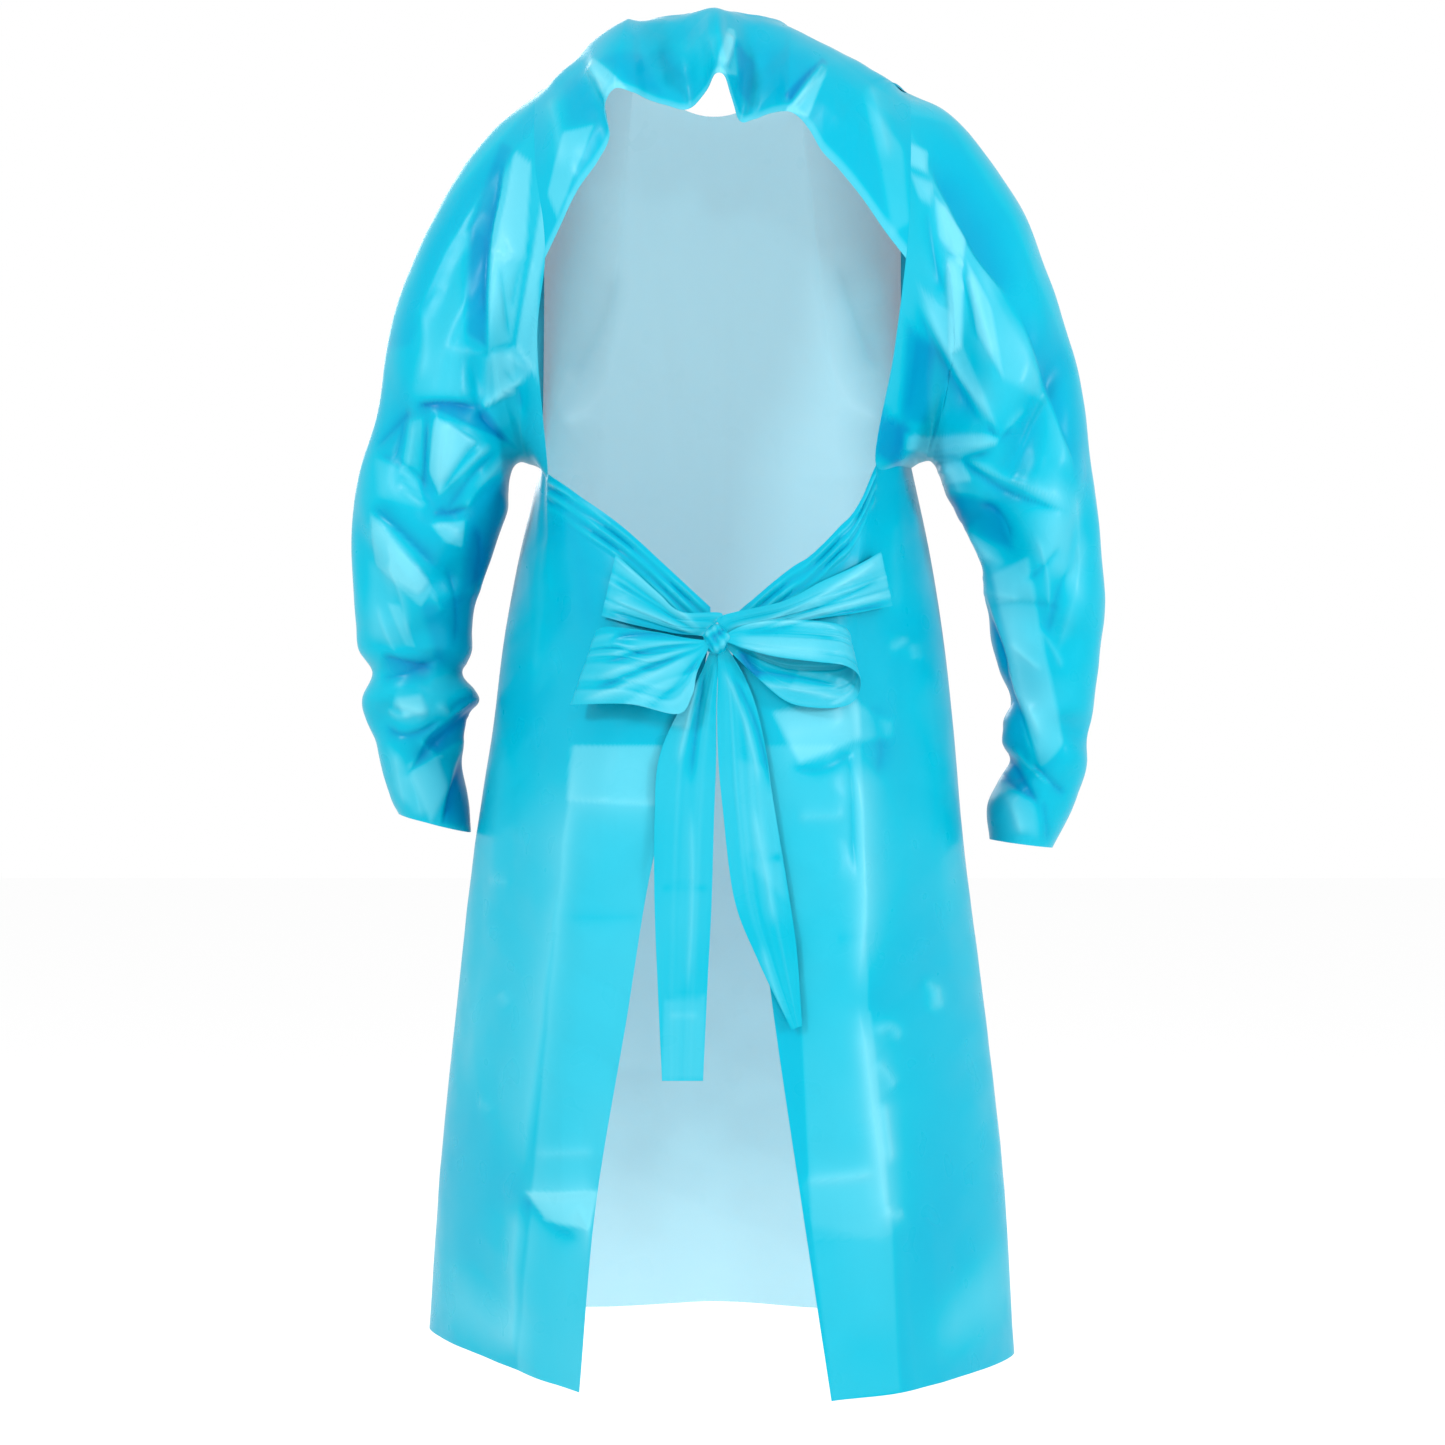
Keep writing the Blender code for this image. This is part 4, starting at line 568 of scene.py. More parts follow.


# painted highlights and painted shade: regions painted paler where the film's facets catch the light and
# deeper where they turn from it or the film lies double, as soft four-cornered regions

facetColumns = "x0 z0 x1 z1 x2 z2 x3 z3 soft tone"
leftSleeveShadedFacets = table(
    facetColumns,
    (0.178, -0.110, 0.163, -0.124, 0.167, -0.207, 0.195, -0.207, 0.0020, 0.30),
    (0.195, -0.207, 0.168, -0.207, 0.180, -0.274, 0.201, -0.282, 0.0020, 0.22),
    (0.139, -0.094, 0.111, -0.090, 0.141, -0.167, 0.151, -0.146, 0.0020, 0.30),
    (0.151, -0.147, 0.142, -0.168, 0.155, -0.227, 0.162, -0.212, 0.0020, 0.28),
    (0.162, -0.210, 0.155, -0.227, 0.157, -0.308, 0.176, -0.278, 0.0020, 0.30),
    (0.191, -0.099, 0.180, -0.107, 0.199, -0.187, 0.216, -0.175, 0.0030, -0.16),
    (0.216, -0.175, 0.199, -0.187, 0.202, -0.278, 0.218, -0.269, 0.0030, -0.22),
    (0.231, -0.181, 0.219, -0.180, 0.219, -0.325, 0.267, -0.321, 0.0080, 0.12),
    (0.164, -0.065, 0.149, -0.072, 0.217, -0.164, 0.243, -0.158, 0.0040, -0.10),
    (0.243, -0.158, 0.217, -0.164, 0.268, -0.278, 0.292, -0.278, 0.0040, -0.10),
    (0.200, -0.282, 0.173, -0.278, 0.159, -0.299, 0.205, -0.330, 0.0020, 0.24),
    (0.265, -0.327, 0.206, -0.327, 0.179, -0.363, 0.215, -0.347, 0.0020, -0.22),
    (0.244, -0.340, 0.211, -0.360, 0.243, -0.404, 0.251, -0.385, 0.0020, 0.34),
    (0.268, -0.340, 0.255, -0.340, 0.257, -0.409, 0.276, -0.385, 0.0020, 0.18),
    (0.303, -0.420, 0.250, -0.483, 0.259, -0.501, 0.299, -0.463, 0.0020, 0.20),
    (0.286, -0.447, 0.253, -0.478, 0.262, -0.490, 0.283, -0.473, 0.0030, 0.22),
    (0.250, -0.431, 0.221, -0.426, 0.225, -0.449, 0.238, -0.445, 0.0020, 0.28),
    (0.215, -0.402, 0.183, -0.383, 0.197, -0.461, 0.228, -0.495, 0.0050, -0.20),
    (0.260, -0.499, 0.214, -0.487, 0.221, -0.564, 0.248, -0.547, 0.0050, -0.18),
    (0.292, -0.550, 0.244, -0.536, 0.241, -0.555, 0.279, -0.567, 0.0060, -0.12),
    (0.283, -0.579, 0.262, -0.576, 0.257, -0.591, 0.277, -0.595, 0.0030, 0.28),
    (0.204, -0.571, 0.215, -0.607, 0.274, -0.644, 0.255, -0.611, 0.0020, -0.26),
    (0.226, -0.619, 0.215, -0.693, 0.246, -0.688, 0.237, -0.649, 0.0020, -0.28),
    (0.275, -0.637, 0.253, -0.619, 0.240, -0.658, 0.255, -0.688, 0.0030, 0.20),
    (0.292, -0.619, 0.277, -0.636, 0.270, -0.676, 0.288, -0.659, 0.0040, 0.12),
    (0.306, -0.458, 0.284, -0.474, 0.275, -0.536, 0.306, -0.526, 0.0060, 0.14),
    (0.289, -0.497, 0.278, -0.499, 0.266, -0.535, 0.275, -0.533, 0.0020, 0.18),
    (0.299, -0.371, 0.267, -0.385, 0.254, -0.419, 0.294, -0.407, 0.0050, 0.14),
    (0.198, -0.284, 0.180, -0.284, 0.176, -0.318, 0.195, -0.323, 0.0020, 0.16),
)
rightSleeveShadedFacets = table(
    facetColumns,
    (-0.154, -0.076, -0.194, -0.082, -0.247, -0.167, -0.207, -0.191, 0.0030, -0.08),
    (-0.207, -0.191, -0.247, -0.167, -0.304, -0.295, -0.279, -0.322, 0.0030, -0.08),
    (-0.279, -0.322, -0.304, -0.295, -0.319, -0.393, -0.302, -0.392, 0.0030, -0.06),
    (-0.155, -0.104, -0.176, -0.111, -0.174, -0.131, -0.158, -0.125, 0.0020, 0.34),
    (-0.160, -0.134, -0.180, -0.140, -0.177, -0.159, -0.167, -0.155, 0.0020, 0.24),
    (-0.180, -0.151, -0.207, -0.188, -0.204, -0.212, -0.184, -0.188, 0.0020, 0.30),
    (-0.191, -0.204, -0.204, -0.207, -0.205, -0.279, -0.194, -0.284, 0.0020, 0.34),
    (-0.208, -0.207, -0.228, -0.246, -0.239, -0.307, -0.216, -0.266, 0.0020, 0.26),
    (-0.218, -0.207, -0.243, -0.239, -0.277, -0.325, -0.239, -0.308, 0.0040, 0.12),
    (-0.165, -0.229, -0.194, -0.250, -0.235, -0.351, -0.204, -0.306, 0.0020, 0.16),
    (-0.156, -0.261, -0.182, -0.280, -0.177, -0.342, -0.152, -0.342, 0.0040, -0.24),
    (-0.133, -0.337, -0.161, -0.346, -0.152, -0.381, -0.129, -0.372, 0.0040, -0.38),
    (-0.155, -0.352, -0.238, -0.355, -0.233, -0.363, -0.156, -0.365, 0.0015, 0.24),
    (-0.165, -0.369, -0.206, -0.372, -0.214, -0.392, -0.177, -0.394, 0.0020, 0.34),
    (-0.189, -0.398, -0.237, -0.414, -0.250, -0.451, -0.209, -0.434, 0.0040, -0.28),
    (-0.266, -0.393, -0.291, -0.403, -0.305, -0.492, -0.271, -0.461, 0.0100, 0.13),
    (-0.233, -0.472, -0.262, -0.458, -0.297, -0.618, -0.278, -0.642, 0.0030, 0.20),
    (-0.213, -0.451, -0.231, -0.463, -0.269, -0.639, -0.247, -0.617, 0.0030, -0.18),
    (-0.235, -0.618, -0.259, -0.632, -0.273, -0.668, -0.245, -0.651, 0.0030, -0.16),
    (-0.254, -0.662, -0.272, -0.666, -0.276, -0.700, -0.256, -0.693, 0.0040, 0.10),
    (-0.279, -0.385, -0.312, -0.410, -0.312, -0.495, -0.279, -0.463, 0.0080, 0.10),
)
leftPanelShadedFacets = table(
    facetColumns,
    (0.125, -0.619, 0.019, -0.619, 0.110, -1.163, 0.174, -1.155, 0.0020, 0.16),
    (0.127, -0.619, 0.052, -0.619, 0.049, -0.669, 0.131, -0.665, 0.0015, 0.16),
    (0.164, -0.993, 0.102, -0.987, 0.110, -1.019, 0.148, -1.015, 0.0020, 0.36),
    (0.247, -1.123, 0.235, -1.072, 0.168, -1.105, 0.181, -1.142, 0.0240, 0.20),
)
rightPanelShadedFacets = table(
    facetColumns,
    (-0.031, -0.619, -0.116, -0.619, -0.121, -0.839, -0.064, -0.839, 0.0020, 0.14),
    (-0.064, -0.839, -0.123, -0.839, -0.141, -1.026, -0.074, -1.026, 0.0020, 0.14),
    (-0.074, -1.026, -0.141, -1.026, -0.148, -1.155, -0.089, -1.159, 0.0030, 0.12),
    (-0.041, -0.591, -0.113, -0.581, -0.116, -0.613, -0.064, -0.634, 0.0030, 0.34),
    (-0.106, -0.581, -0.144, -0.600, -0.143, -0.613, -0.113, -0.616, 0.0040, 0.22),
    (-0.061, -0.979, -0.124, -0.967, -0.134, -1.029, -0.071, -1.015, 0.0060, 0.08),
    (-0.177, -1.105, -0.241, -1.055, -0.244, -1.117, -0.189, -1.132, 0.0240, 0.20),
)
bowShadedFacets = table(
    facetColumns,
    (0.119, -0.589, 0.055, -0.568, 0.018, -0.544, 0.028, -0.605, 0.0020, 0.20),
    (0.088, -0.460, 0.018, -0.522, 0.027, -0.527, 0.098, -0.509, 0.0020, 0.08),
    (-0.133, -0.457, -0.145, -0.503, -0.076, -0.514, -0.035, -0.526, 0.0020, 0.16),
    (-0.013, -0.527, -0.103, -0.522, -0.110, -0.549, -0.016, -0.540, 0.0050, 0.12),
    (-0.011, -0.539, -0.027, -0.540, -0.032, -0.572, -0.020, -0.566, 0.0030, -0.20),
    (-0.064, -0.555, -0.111, -0.573, -0.101, -0.583, -0.055, -0.573, 0.0020, 0.12),
    (0.048, -0.828, 0.014, -0.826, 0.015, -0.895, 0.050, -0.896, 0.0020, 0.10),
    (-0.013, -0.631, -0.044, -0.639, -0.052, -0.746, -0.018, -0.713, 0.0040, 0.10),
)
yokeShadedFacets = table(
    facetColumns,
    (0.135, -0.101, 0.108, -0.096, 0.139, -0.175, 0.148, -0.153, 0.0020, 0.26),
    (-0.122, -0.071, -0.154, -0.111, -0.159, -0.178, -0.143, -0.188, 0.0040, 0.14),
    (0.103, -0.075, 0.083, -0.069, 0.057, -0.081, 0.078, -0.086, 0.0020, 0.10),
    (0.136, -0.052, 0.111, -0.044, 0.103, -0.093, 0.131, -0.096, 0.0060, -0.08),
    (0.115, -0.037, 0.110, -0.037, 0.080, -0.071, 0.099, -0.075, 0.0015, 0.36),
    (0.104, -0.041, 0.069, -0.036, 0.049, -0.074, 0.076, -0.068, 0.0060, -0.12),
    (-0.005, -0.014, -0.010, -0.014, -0.012, -0.056, 0.007, -0.063, 0.0015, 0.34),
    (-0.014, -0.027, -0.028, -0.042, -0.023, -0.081, -0.013, -0.068, 0.0030, -0.20),
    (0.042, -0.024, 0.000, -0.021, 0.009, -0.054, 0.029, -0.064, 0.0080, 0.10),
    (-0.092, -0.039, -0.089, -0.047, -0.052, -0.089, -0.077, -0.093, 0.0015, 0.34),
    (-0.085, -0.036, -0.089, -0.041, -0.058, -0.079, -0.052, -0.074, 0.0020, -0.24),
    (-0.031, -0.027, -0.078, -0.034, -0.057, -0.069, -0.033, -0.074, 0.0080, -0.06),
)


def toneOf(points, rows):
    # the regions' painted highlight and painted shade at each point
    x, z = points[..., 0], points[..., 2]
    total = np.zeros(x.shape)
    for row in range(len(rows["x0"])):
        one = {name: rows[name][row] for name in rows}
        corners = [np.array([one["x" + end], one["z" + end]]) for end in "0123"]
        middle = sum(corners) / 4.0
        share = np.ones(x.shape)
        for a, b in zip(corners, corners[1:] + corners[:1]):
            normal = unit(np.array([a[1] - b[1], b[0] - a[0]]))
            normal = normal if np.dot(middle - a, normal) > 0.0 else -normal
            inside = (x - a[0]) * normal[0] + (z - a[1]) * normal[1]
            share = share * softStep(-one["soft"], one["soft"], inside)
        total += one["tone"] * share
    return total


# the film's finish

filmFinish = {
    # painted shade and highlight live in these colours: deep stands for painted shade in troughs and
    # shaded regions, pale for painted highlights on ridges and lit regions, and the film's own tone lies
    # between deep and mid
    "deep": (0.0, 0.200, 0.420),
    "mid": (0.0, 0.405, 0.550),
    "pale": (0.14, 0.560, 0.680),
    # the front's colours are painted paler than the back's, as light shining through the film
    "front": (0.01, 0.480, 0.630),
    "frontBacklitPale": (0.34, 0.800, 0.920),
    "backOpacity": 0.95,      # of one face, and each layer has two
    "frontOpacity": 0.50,
    "tieOpacity": 0.93,
    "tiePaintedLight": 0.10,    # the ties' film is painted paler, as painted light
    "foldReach": 0.0030,      # the crease height that takes the full painted shade or painted highlight
    "cloudScale": 7.0,        # wide patches, a little deeper or paler:
    "cloudDetail": 2.0,
    "cloudNoise": (0.3, 0.7),     # this noise gives
    "cloudTones": (0.40, 0.48),   # these tones
    "smearScale": 34.0,       # small patches of uneven gloss
    "smearDetail": 1.0,
    "smearRoughness": (0.20, 0.42),
    "specular": 0.10,
    "thickness": 0.0004,
    "crinkleSize": 0.070,
    "crinkleDetail": 1.5,
    "crinkleRoughness": 0.35,
    "crinkleHeight": 0.0005,
    "crinkleStrength": 0.5,
    "sharpAngle": 60.0,       # degrees past which an edge shows crisp
}


def filmMaterial(name, opacity, lightening=0.0, tones=("mid", "pale")):
    look = filmFinish
    made = bpy.data.materials.new(name)
    made.use_nodes = True
    nodes, links = made.node_tree.nodes, made.node_tree.links
    film = nodes["Principled BSDF"]
    film.inputs["Alpha"].default_value = opacity
    film.inputs["Specular IOR Level"].default_value = look["specular"]
    place = nodes.new("ShaderNodeTexCoord")

    def noise(scale, detail):
        node = nodes.new("ShaderNodeTexNoise")
        node.inputs["Scale"].default_value = scale
        node.inputs["Detail"].default_value = detail
        links.new(place.outputs["Object"], node.inputs["Vector"])
        return node

    def mapped(value, given, wanted):
        # a value moved from the given range to the wanted one
        node = nodes.new("ShaderNodeMapRange")
        for label, number in zip(("From Min", "From Max", "To Min", "To Max"), (*given, *wanted)):
            node.inputs[label].default_value = number
        links.new(value, node.inputs["Value"])
        return node.outputs["Result"]

    # painted shade deep in the troughs and painted highlight pale on the ridges, over the wide patches
    fold = nodes.new("ShaderNodeAttribute")
    fold.attribute_name = "fold"
    cloud = noise(look["cloudScale"], look["cloudDetail"])
    cloudTones = [tone + lightening for tone in look["cloudTones"]]
    tone = nodes.new("ShaderNodeMath")
    tone.operation = "MULTIPLY_ADD"
    tone.inputs[1].default_value = 0.5 / look["foldReach"]
    links.new(fold.outputs["Fac"], tone.inputs[0])
    links.new(mapped(cloud.outputs["Fac"], look["cloudNoise"], cloudTones), tone.inputs[2])
    ramp = nodes.new("ShaderNodeValToRGB")
    ramp.color_ramp.elements.new(0.5)
    for stop, colour in zip(ramp.color_ramp.elements, ("deep", *tones)):
        stop.color = (*look[colour], 1.0)
    links.new(tone.outputs["Value"], ramp.inputs["Fac"])
    links.new(ramp.outputs["Color"], film.inputs["Base Color"])

    smear = noise(look["smearScale"], look["smearDetail"])
    links.new(mapped(smear.outputs["Fac"], (0.0, 1.0), look["smearRoughness"]), film.inputs["Roughness"])

    crinkle = noise(1.0 / look["crinkleSize"], look["crinkleDetail"])
    crinkle.noise_type = "RIDGED_MULTIFRACTAL"
    crinkle.inputs["Roughness"].default_value = look["crinkleRoughness"]
    bump = nodes.new("ShaderNodeBump")
    bump.inputs["Strength"].default_value = look["crinkleStrength"]
    bump.inputs["Distance"].default_value = look["crinkleHeight"]
    links.new(crinkle.outputs["Fac"], bump.inputs["Height"])
    links.new(bump.outputs["Normal"], film.inputs["Normal"])
    return made


toneReach = 2.0 * filmFinish["foldReach"]
backFilm = filmMaterial("back film", filmFinish["backOpacity"])
frontFilm = filmMaterial("front film", filmFinish["frontOpacity"], 0.0, ("front", "frontBacklitPale"))
tieFilm = filmMaterial("gathered film", filmFinish["tieOpacity"], filmFinish["tiePaintedLight"])
print("film finishes made")


# thin shells of film round grids of points

crumpleForm = {
    "waveDetail": 1.5,
    "facetSets": ((0.5, 1.0), (-0.75, 0.8), (1.5, 0.6)),    # how each set is turned, and its share
    "facetBend": 3.2,
    "facetBendScale": 0.5,
    "facetRepeat": 0.314,     # metres between the wave texture's ridges at scale 1
    "finerStep": 0.3,         # each set is finer than the one before
    "phaseStep": 1.7,         # how far the sets' patterns are moved apart
    "patchScale": 9.0,        # the facets of a set stand in patches
    "patchStep": 5.3,         # and how far their patches are
    "patchNoise": (0.44, 0.60),    # from no facets to full ones
}


def crumpleTree(name, material):
    # lifts and lowers the film in wide waves and in small flat facets, less near its seams
    form = crumpleForm
    tree = bpy.data.node_groups.new(name, "GeometryNodeTree")
    face = tree.interface
    face.new_socket(name="Geometry", in_out="INPUT", socket_type="NodeSocketGeometry")
    for label in ("Wave Height", "Wave Size", "Facet Height", "Facet Size"):
        face.new_socket(name=label, in_out="INPUT", socket_type="NodeSocketFloat")
    face.new_socket(name="Seed", in_out="INPUT", socket_type="NodeSocketInt")
    face.new_socket(name="Geometry", in_out="OUTPUT", socket_type="NodeSocketGeometry")
    nodes, links = tree.nodes, tree.links
    inputs, output = nodes.new("NodeGroupInput"), nodes.new("NodeGroupOutput")
    position, normal = nodes.new("GeometryNodeInputPosition"), nodes.new("GeometryNodeInputNormal")
    loose = nodes.new("GeometryNodeInputNamedAttribute")
    loose.data_type = "FLOAT"
    loose.inputs["Name"].default_value = "loose"
    seed = inputs.outputs["Seed"]

    def feed(socket, value):
        if isinstance(value, (int, float)):
            socket.default_value = value
        else:
            links.new(value, socket)

    def maths(operation, first, second):
        node = nodes.new("ShaderNodeMath")
        node.operation = operation
        feed(node.inputs[0], first)
        feed(node.inputs[1], second)
        return node.outputs[0]

    def noise(scale, detail, shift):
        node = nodes.new("ShaderNodeTexNoise")
        node.noise_dimensions = "4D"
        node.inputs["Detail"].default_value = detail
        links.new(position.outputs[0], node.inputs["Vector"])
        links.new(shift, node.inputs["W"])
        feed(node.inputs["Scale"], scale)
        return node.outputs["Fac"]

    wave = noise(maths("DIVIDE", 1.0, inputs.outputs["Wave Size"]), form["waveDetail"], seed)
    lift = maths("MULTIPLY", maths("SUBTRACT", wave, 0.5), inputs.outputs["Wave Height"])
    for number, (slant, share) in enumerate(form["facetSets"]):
        turned = nodes.new("ShaderNodeVectorRotate")
        turned.rotation_type = "Y_AXIS"
        turned.inputs["Angle"].default_value = slant
        links.new(position.outputs[0], turned.inputs["Vector"])
        repeat = form["facetRepeat"] * (1.0 + form["finerStep"] * number)
        folds = nodes.new("ShaderNodeTexWave")
        folds.bands_direction = "Z"
        folds.wave_profile = "TRI"
        folds.inputs["Distortion"].default_value = form["facetBend"]
        folds.inputs["Detail"].default_value = 0.0
        folds.inputs["Detail Scale"].default_value = form["facetBendScale"]
        links.new(turned.outputs[0], folds.inputs["Vector"])
        links.new(maths("DIVIDE", repeat, inputs.outputs["Facet Size"]), folds.inputs["Scale"])
        links.new(maths("ADD", seed, form["phaseStep"] * number), folds.inputs["Phase Offset"])
        patchSeed = maths("ADD", seed, form["patchStep"] * number)
        patchy = nodes.new("ShaderNodeMapRange")
        patchy.inputs["From Min"].default_value = form["patchNoise"][0]
        patchy.inputs["From Max"].default_value = form["patchNoise"][1]
        links.new(noise(form["patchScale"], 0.0, patchSeed), patchy.inputs["Value"])
        facet = maths("SUBTRACT", folds.outputs["Fac"], 0.5)
        facet = maths("MULTIPLY", facet, inputs.outputs["Facet Height"])
        facet = maths("MULTIPLY", facet, patchy.outputs["Result"])
        lift = maths("ADD", lift, maths("MULTIPLY", facet, share))
    lift = maths("MULTIPLY", lift, loose.outputs["Attribute"])
    offset = nodes.new("ShaderNodeVectorMath")
    offset.operation = "SCALE"
    links.new(normal.outputs[0], offset.inputs[0])
    links.new(lift, offset.inputs["Scale"])
    move = nodes.new("GeometryNodeSetPosition")
    links.new(inputs.outputs["Geometry"], move.inputs["Geometry"])
    links.new(offset.outputs[0], move.inputs["Offset"])
    real = nodes.new("GeometryNodeRealizeInstances")
    links.new(move.outputs["Geometry"], real.inputs["Geometry"])
    finish = nodes.new("GeometryNodeSetMaterial")
    finish.inputs["Material"].default_value = material
    links.new(real.outputs["Geometry"], finish.inputs["Geometry"])
    links.new(finish.outputs["Geometry"], output.inputs["Geometry"])
    return tree


def gridMesh(name, points, outward, fold, loose, wraps):
    # faces that point outwards, a flat cut in UVs, each point's looseness, and its tone of painted shade
    # and painted highlight, kept as fold
    rows, columns = points.shape[:2]
    last = columns if wraps else columns - 1
    grid = np.meshgrid(np.arange(rows - 1), np.arange(last), indexing="ij")
    row, column = (part.ravel() for part in grid)
    cornerRow = np.stack([row, row, row + 1, row + 1], axis=1)
    cornerColumn = np.stack([column, column + 1, column + 1, column], axis=1)
    quads = cornerRow * columns + cornerColumn % columns
    verts = points.reshape(-1, 3)
    corner = verts[quads]
    normal = np.cross(corner[:, 2] - corner[:, 0], corner[:, 3] - corner[:, 1])
    if np.sum(normal * outward.reshape(-1, 3)[quads[:, 0]]) < 0.0:
        quads, cornerRow, cornerColumn = quads[:, ::-1], cornerRow[:, ::-1], cornerColumn[:, ::-1]
    mesh = bpy.data.meshes.new(name)
    mesh.from_pydata(verts.tolist(), [], quads.tolist())
    closed = np.concatenate([points, points[:, :1]], axis=1) if wraps else points
    across = np.linalg.norm(np.diff(closed, axis=1), axis=2).mean(axis=0)
    down = np.linalg.norm(np.diff(points, axis=0), axis=2).mean(axis=1)
    u, v = np.concatenate([[0.0], across.cumsum()]), np.concatenate([[0.0], down.cumsum()])
    flat = np.stack([u[cornerColumn], v[cornerRow]], axis=-1).astype(np.float32)
    mesh.uv_layers.new(name="flatCut").uv.foreach_set("vector", flat.ravel())
    for label, values in (("fold", fold), ("loose", loose)):
        layer = mesh.attributes.new(label, "FLOAT", "POINT")
        layer.data.foreach_set("value", np.asarray(values, np.float32).ravel())
    area = np.linalg.norm(normal, axis=1).sum() / 2.0
    print(f"  {name}: {len(quads)} quads, area {area:.3f} m2, cut {u[-1]:.3f} x {v[-1]:.3f} m")
    return mesh


def filmShell(name, points, outward, fold, loose, material, look, nodes, wraps=False):
    mesh = gridMesh(name, points, outward, fold, loose, wraps)
    shell = bpy.data.objects.new(name, mesh)
    bpy.context.scene.collection.objects.link(shell)
    tree = crumpleTree(name + "Crumple", material)
    crumple = shell.modifiers.new("crumple", "NODES")
    crumple.node_group = tree
    sockets = {item.name: item.identifier for item in tree.interface.items_tree if item.in_out == "INPUT"}
    for label, key in (
        ("Wave Height", "waveHeight"),
        ("Wave Size", "waveSize"),
        ("Facet Height", "facetHeight"),
        ("Facet Size", "facetSize"),
        ("Seed", "seed"),
    ):
        crumple[sockets[label]] = look[key]
    skin = shell.modifiers.new("film thickness", "SOLIDIFY")
    skin.thickness = filmFinish["thickness"]
    skin.offset = 0.0
    bpy.context.view_layer.update()
    graph = bpy.context.evaluated_depsgraph_get()
    plain = bpy.data.meshes.new_from_object(
        shell.evaluated_get(graph), preserve_all_data_layers=True, depsgraph=graph
    )
    shell.modifiers.clear()
    shell.data = plain
    plain.name = name
    plain.shade_smooth()
    plain.set_sharp_from_angle(angle=math.radians(filmFinish["sharpAngle"]))
    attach(shell, "root")
    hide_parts(*nodes)
    return shell


def looseInside(rows, columns, fade, top=True, bottom=True):
    # 0 on the borders that are sealed to another piece, rising to 1 inside
    down = np.linspace(0.0, 1.0, rows)[:, None]
    across = np.linspace(0.0, 1.0, columns)[None, :]
    share = np.ones((rows, columns))
    if top:
        share *= softStep(0.0, fade, down)
    if bottom:
        share *= softStep(0.0, fade, 1.0 - down)
    return share * (softStep(0.0, fade, across) * softStep(0.0, fade, 1.0 - across))


# the front, one piece from the neck to the hem

frontLook = {
    "columns": 121,
    "chestRows": 90,
    "skirtRows": 150,
    "shoulderShare": 0.25,    # of the top edge, on each side of the neck opening
    "sideBulge": 6,
    "rowTurn": 1.2,
    "rowEase": 1.0,
    "fluteDepth": 0.006,      # soft flutes in the skirt
    "fluteTopDrop": 0.55,     # begin here and grow toward the hem
    "fluteLength": 0.60,
    "fluteGrowth": 1.3,
    "fluteEnd": 4,            # a higher power keeps them closer to the side seams
    "sealFade": 0.05,
    "creaseShading": 0.8,
    "paleFrom": 0.7,          # its middle is painted pale, as light shining through the film from behind, its sides as deep as the back
    "paleTo": 1.9,
    "paintedPaleness": 0.60,
    "waveHeight": 0.0050,
    "waveSize": 0.11,
    "facetHeight": 0.0018,
    "facetSize": 0.070,
    "seed": 4,
    "flat": (0.60, 1.17),
    "area": 0.60,
}


def frontPanel():
    look = frontLook
    share = np.linspace(0.0, 1.0, look["columns"])
    places = seamPlace * (1.0 - 2.0 * share)
    hems = smooth(hemRows["around"], hemRows["drop"], places)
    under = bodyForm["underarmDrop"]
    down = np.linspace(0.0, 1.0, look["skirtRows"])[:, None]
    drops = under + (hems[None, :] - under) * down
    skirt = bodyPoints(np.broadcast_to(places, drops.shape), drops)
    top = topLine(share, look["shoulderShare"], True)
    angles = np.linspace(360.0, 180.0, look["chestRows"])
    left, right = armholeLine("left", angles), armholeLine("right", angles)
    chest = patch(top, skirt[0], left, right, look["sideBulge"], look["rowTurn"], look["rowEase"])
    points = np.concatenate([chest, skirt[1:]])
    outward = facing(points)
    grown = (-points[..., 2] - look["fluteTopDrop"]) / look["fluteLength"]
    flute = look["fluteDepth"] * np.clip(grown, 0.0, None) ** look["fluteGrowth"]
    flute = flute * (1.0 - (places / seamPlace) ** look["fluteEnd"]) * np.cos(2.0 * np.pi * places)
    points = points + outward * flute[..., None]
    outward = facing(points)
    loose = looseInside(*points.shape[:2], look["sealFade"], bottom=False)
    fold = creaseHeights(points, frontCreases) * loose
    points = points + outward * fold[..., None]
    # painted light: the middle painted pale as if lit through from behind, with the creases' painted shade
    # and highlight
    litThroughMiddle = softStep(look["paleTo"], look["paleFrom"], np.abs(places))[None, :]
    shade = look["creaseShading"] * fold + look["paintedPaleness"] * litThroughMiddle * toneReach
    nodes = ("front_panel_chest", "front_panel_skirt")
    return filmShell("frontPanel", points, outward, shade, loose, frontFilm, look, nodes)


front = frontPanel()
print("front made")


# the two back panels, with a ridged band along the free upper edge

panelLook = {
    "columns": 90,
    "rows": 240,
    "seamMarks": 3,           # steps of the top edge that lie on the armhole
    "seamStep": 10.0,         # and the degrees of each
    "edgeMarks": 9,           # steps of the top edge that are free
    "pullEnd": 6,             # a higher power ends the armhole's pull sooner below it
    "bandRidge": 0.0016,
    "bandStep": 0.006,        # from a ridge of the band to the next trough
    "bandFrom": (0.3, 1.0),   # the steps below the edge over which the band begins
    "bandTo": (5.9, 5.2),     # and those over which it ends
    "bandMarks": (2.6, 3.4),  # the marks over which it begins beside the armhole
    "bandLevel": 0.75,        # its height wanders about this share
    "bandWander": 0.35,
    "bandBeat": 1.9,
    "bandSlant": 0.7,
    "sealFade": 0.04,
    "creaseShading": 0.6,
    "waveHeight": 0.0024,
    "waveSize": 0.10,
    "facetHeight": 0.0016,
    "facetSize": 0.060,
}
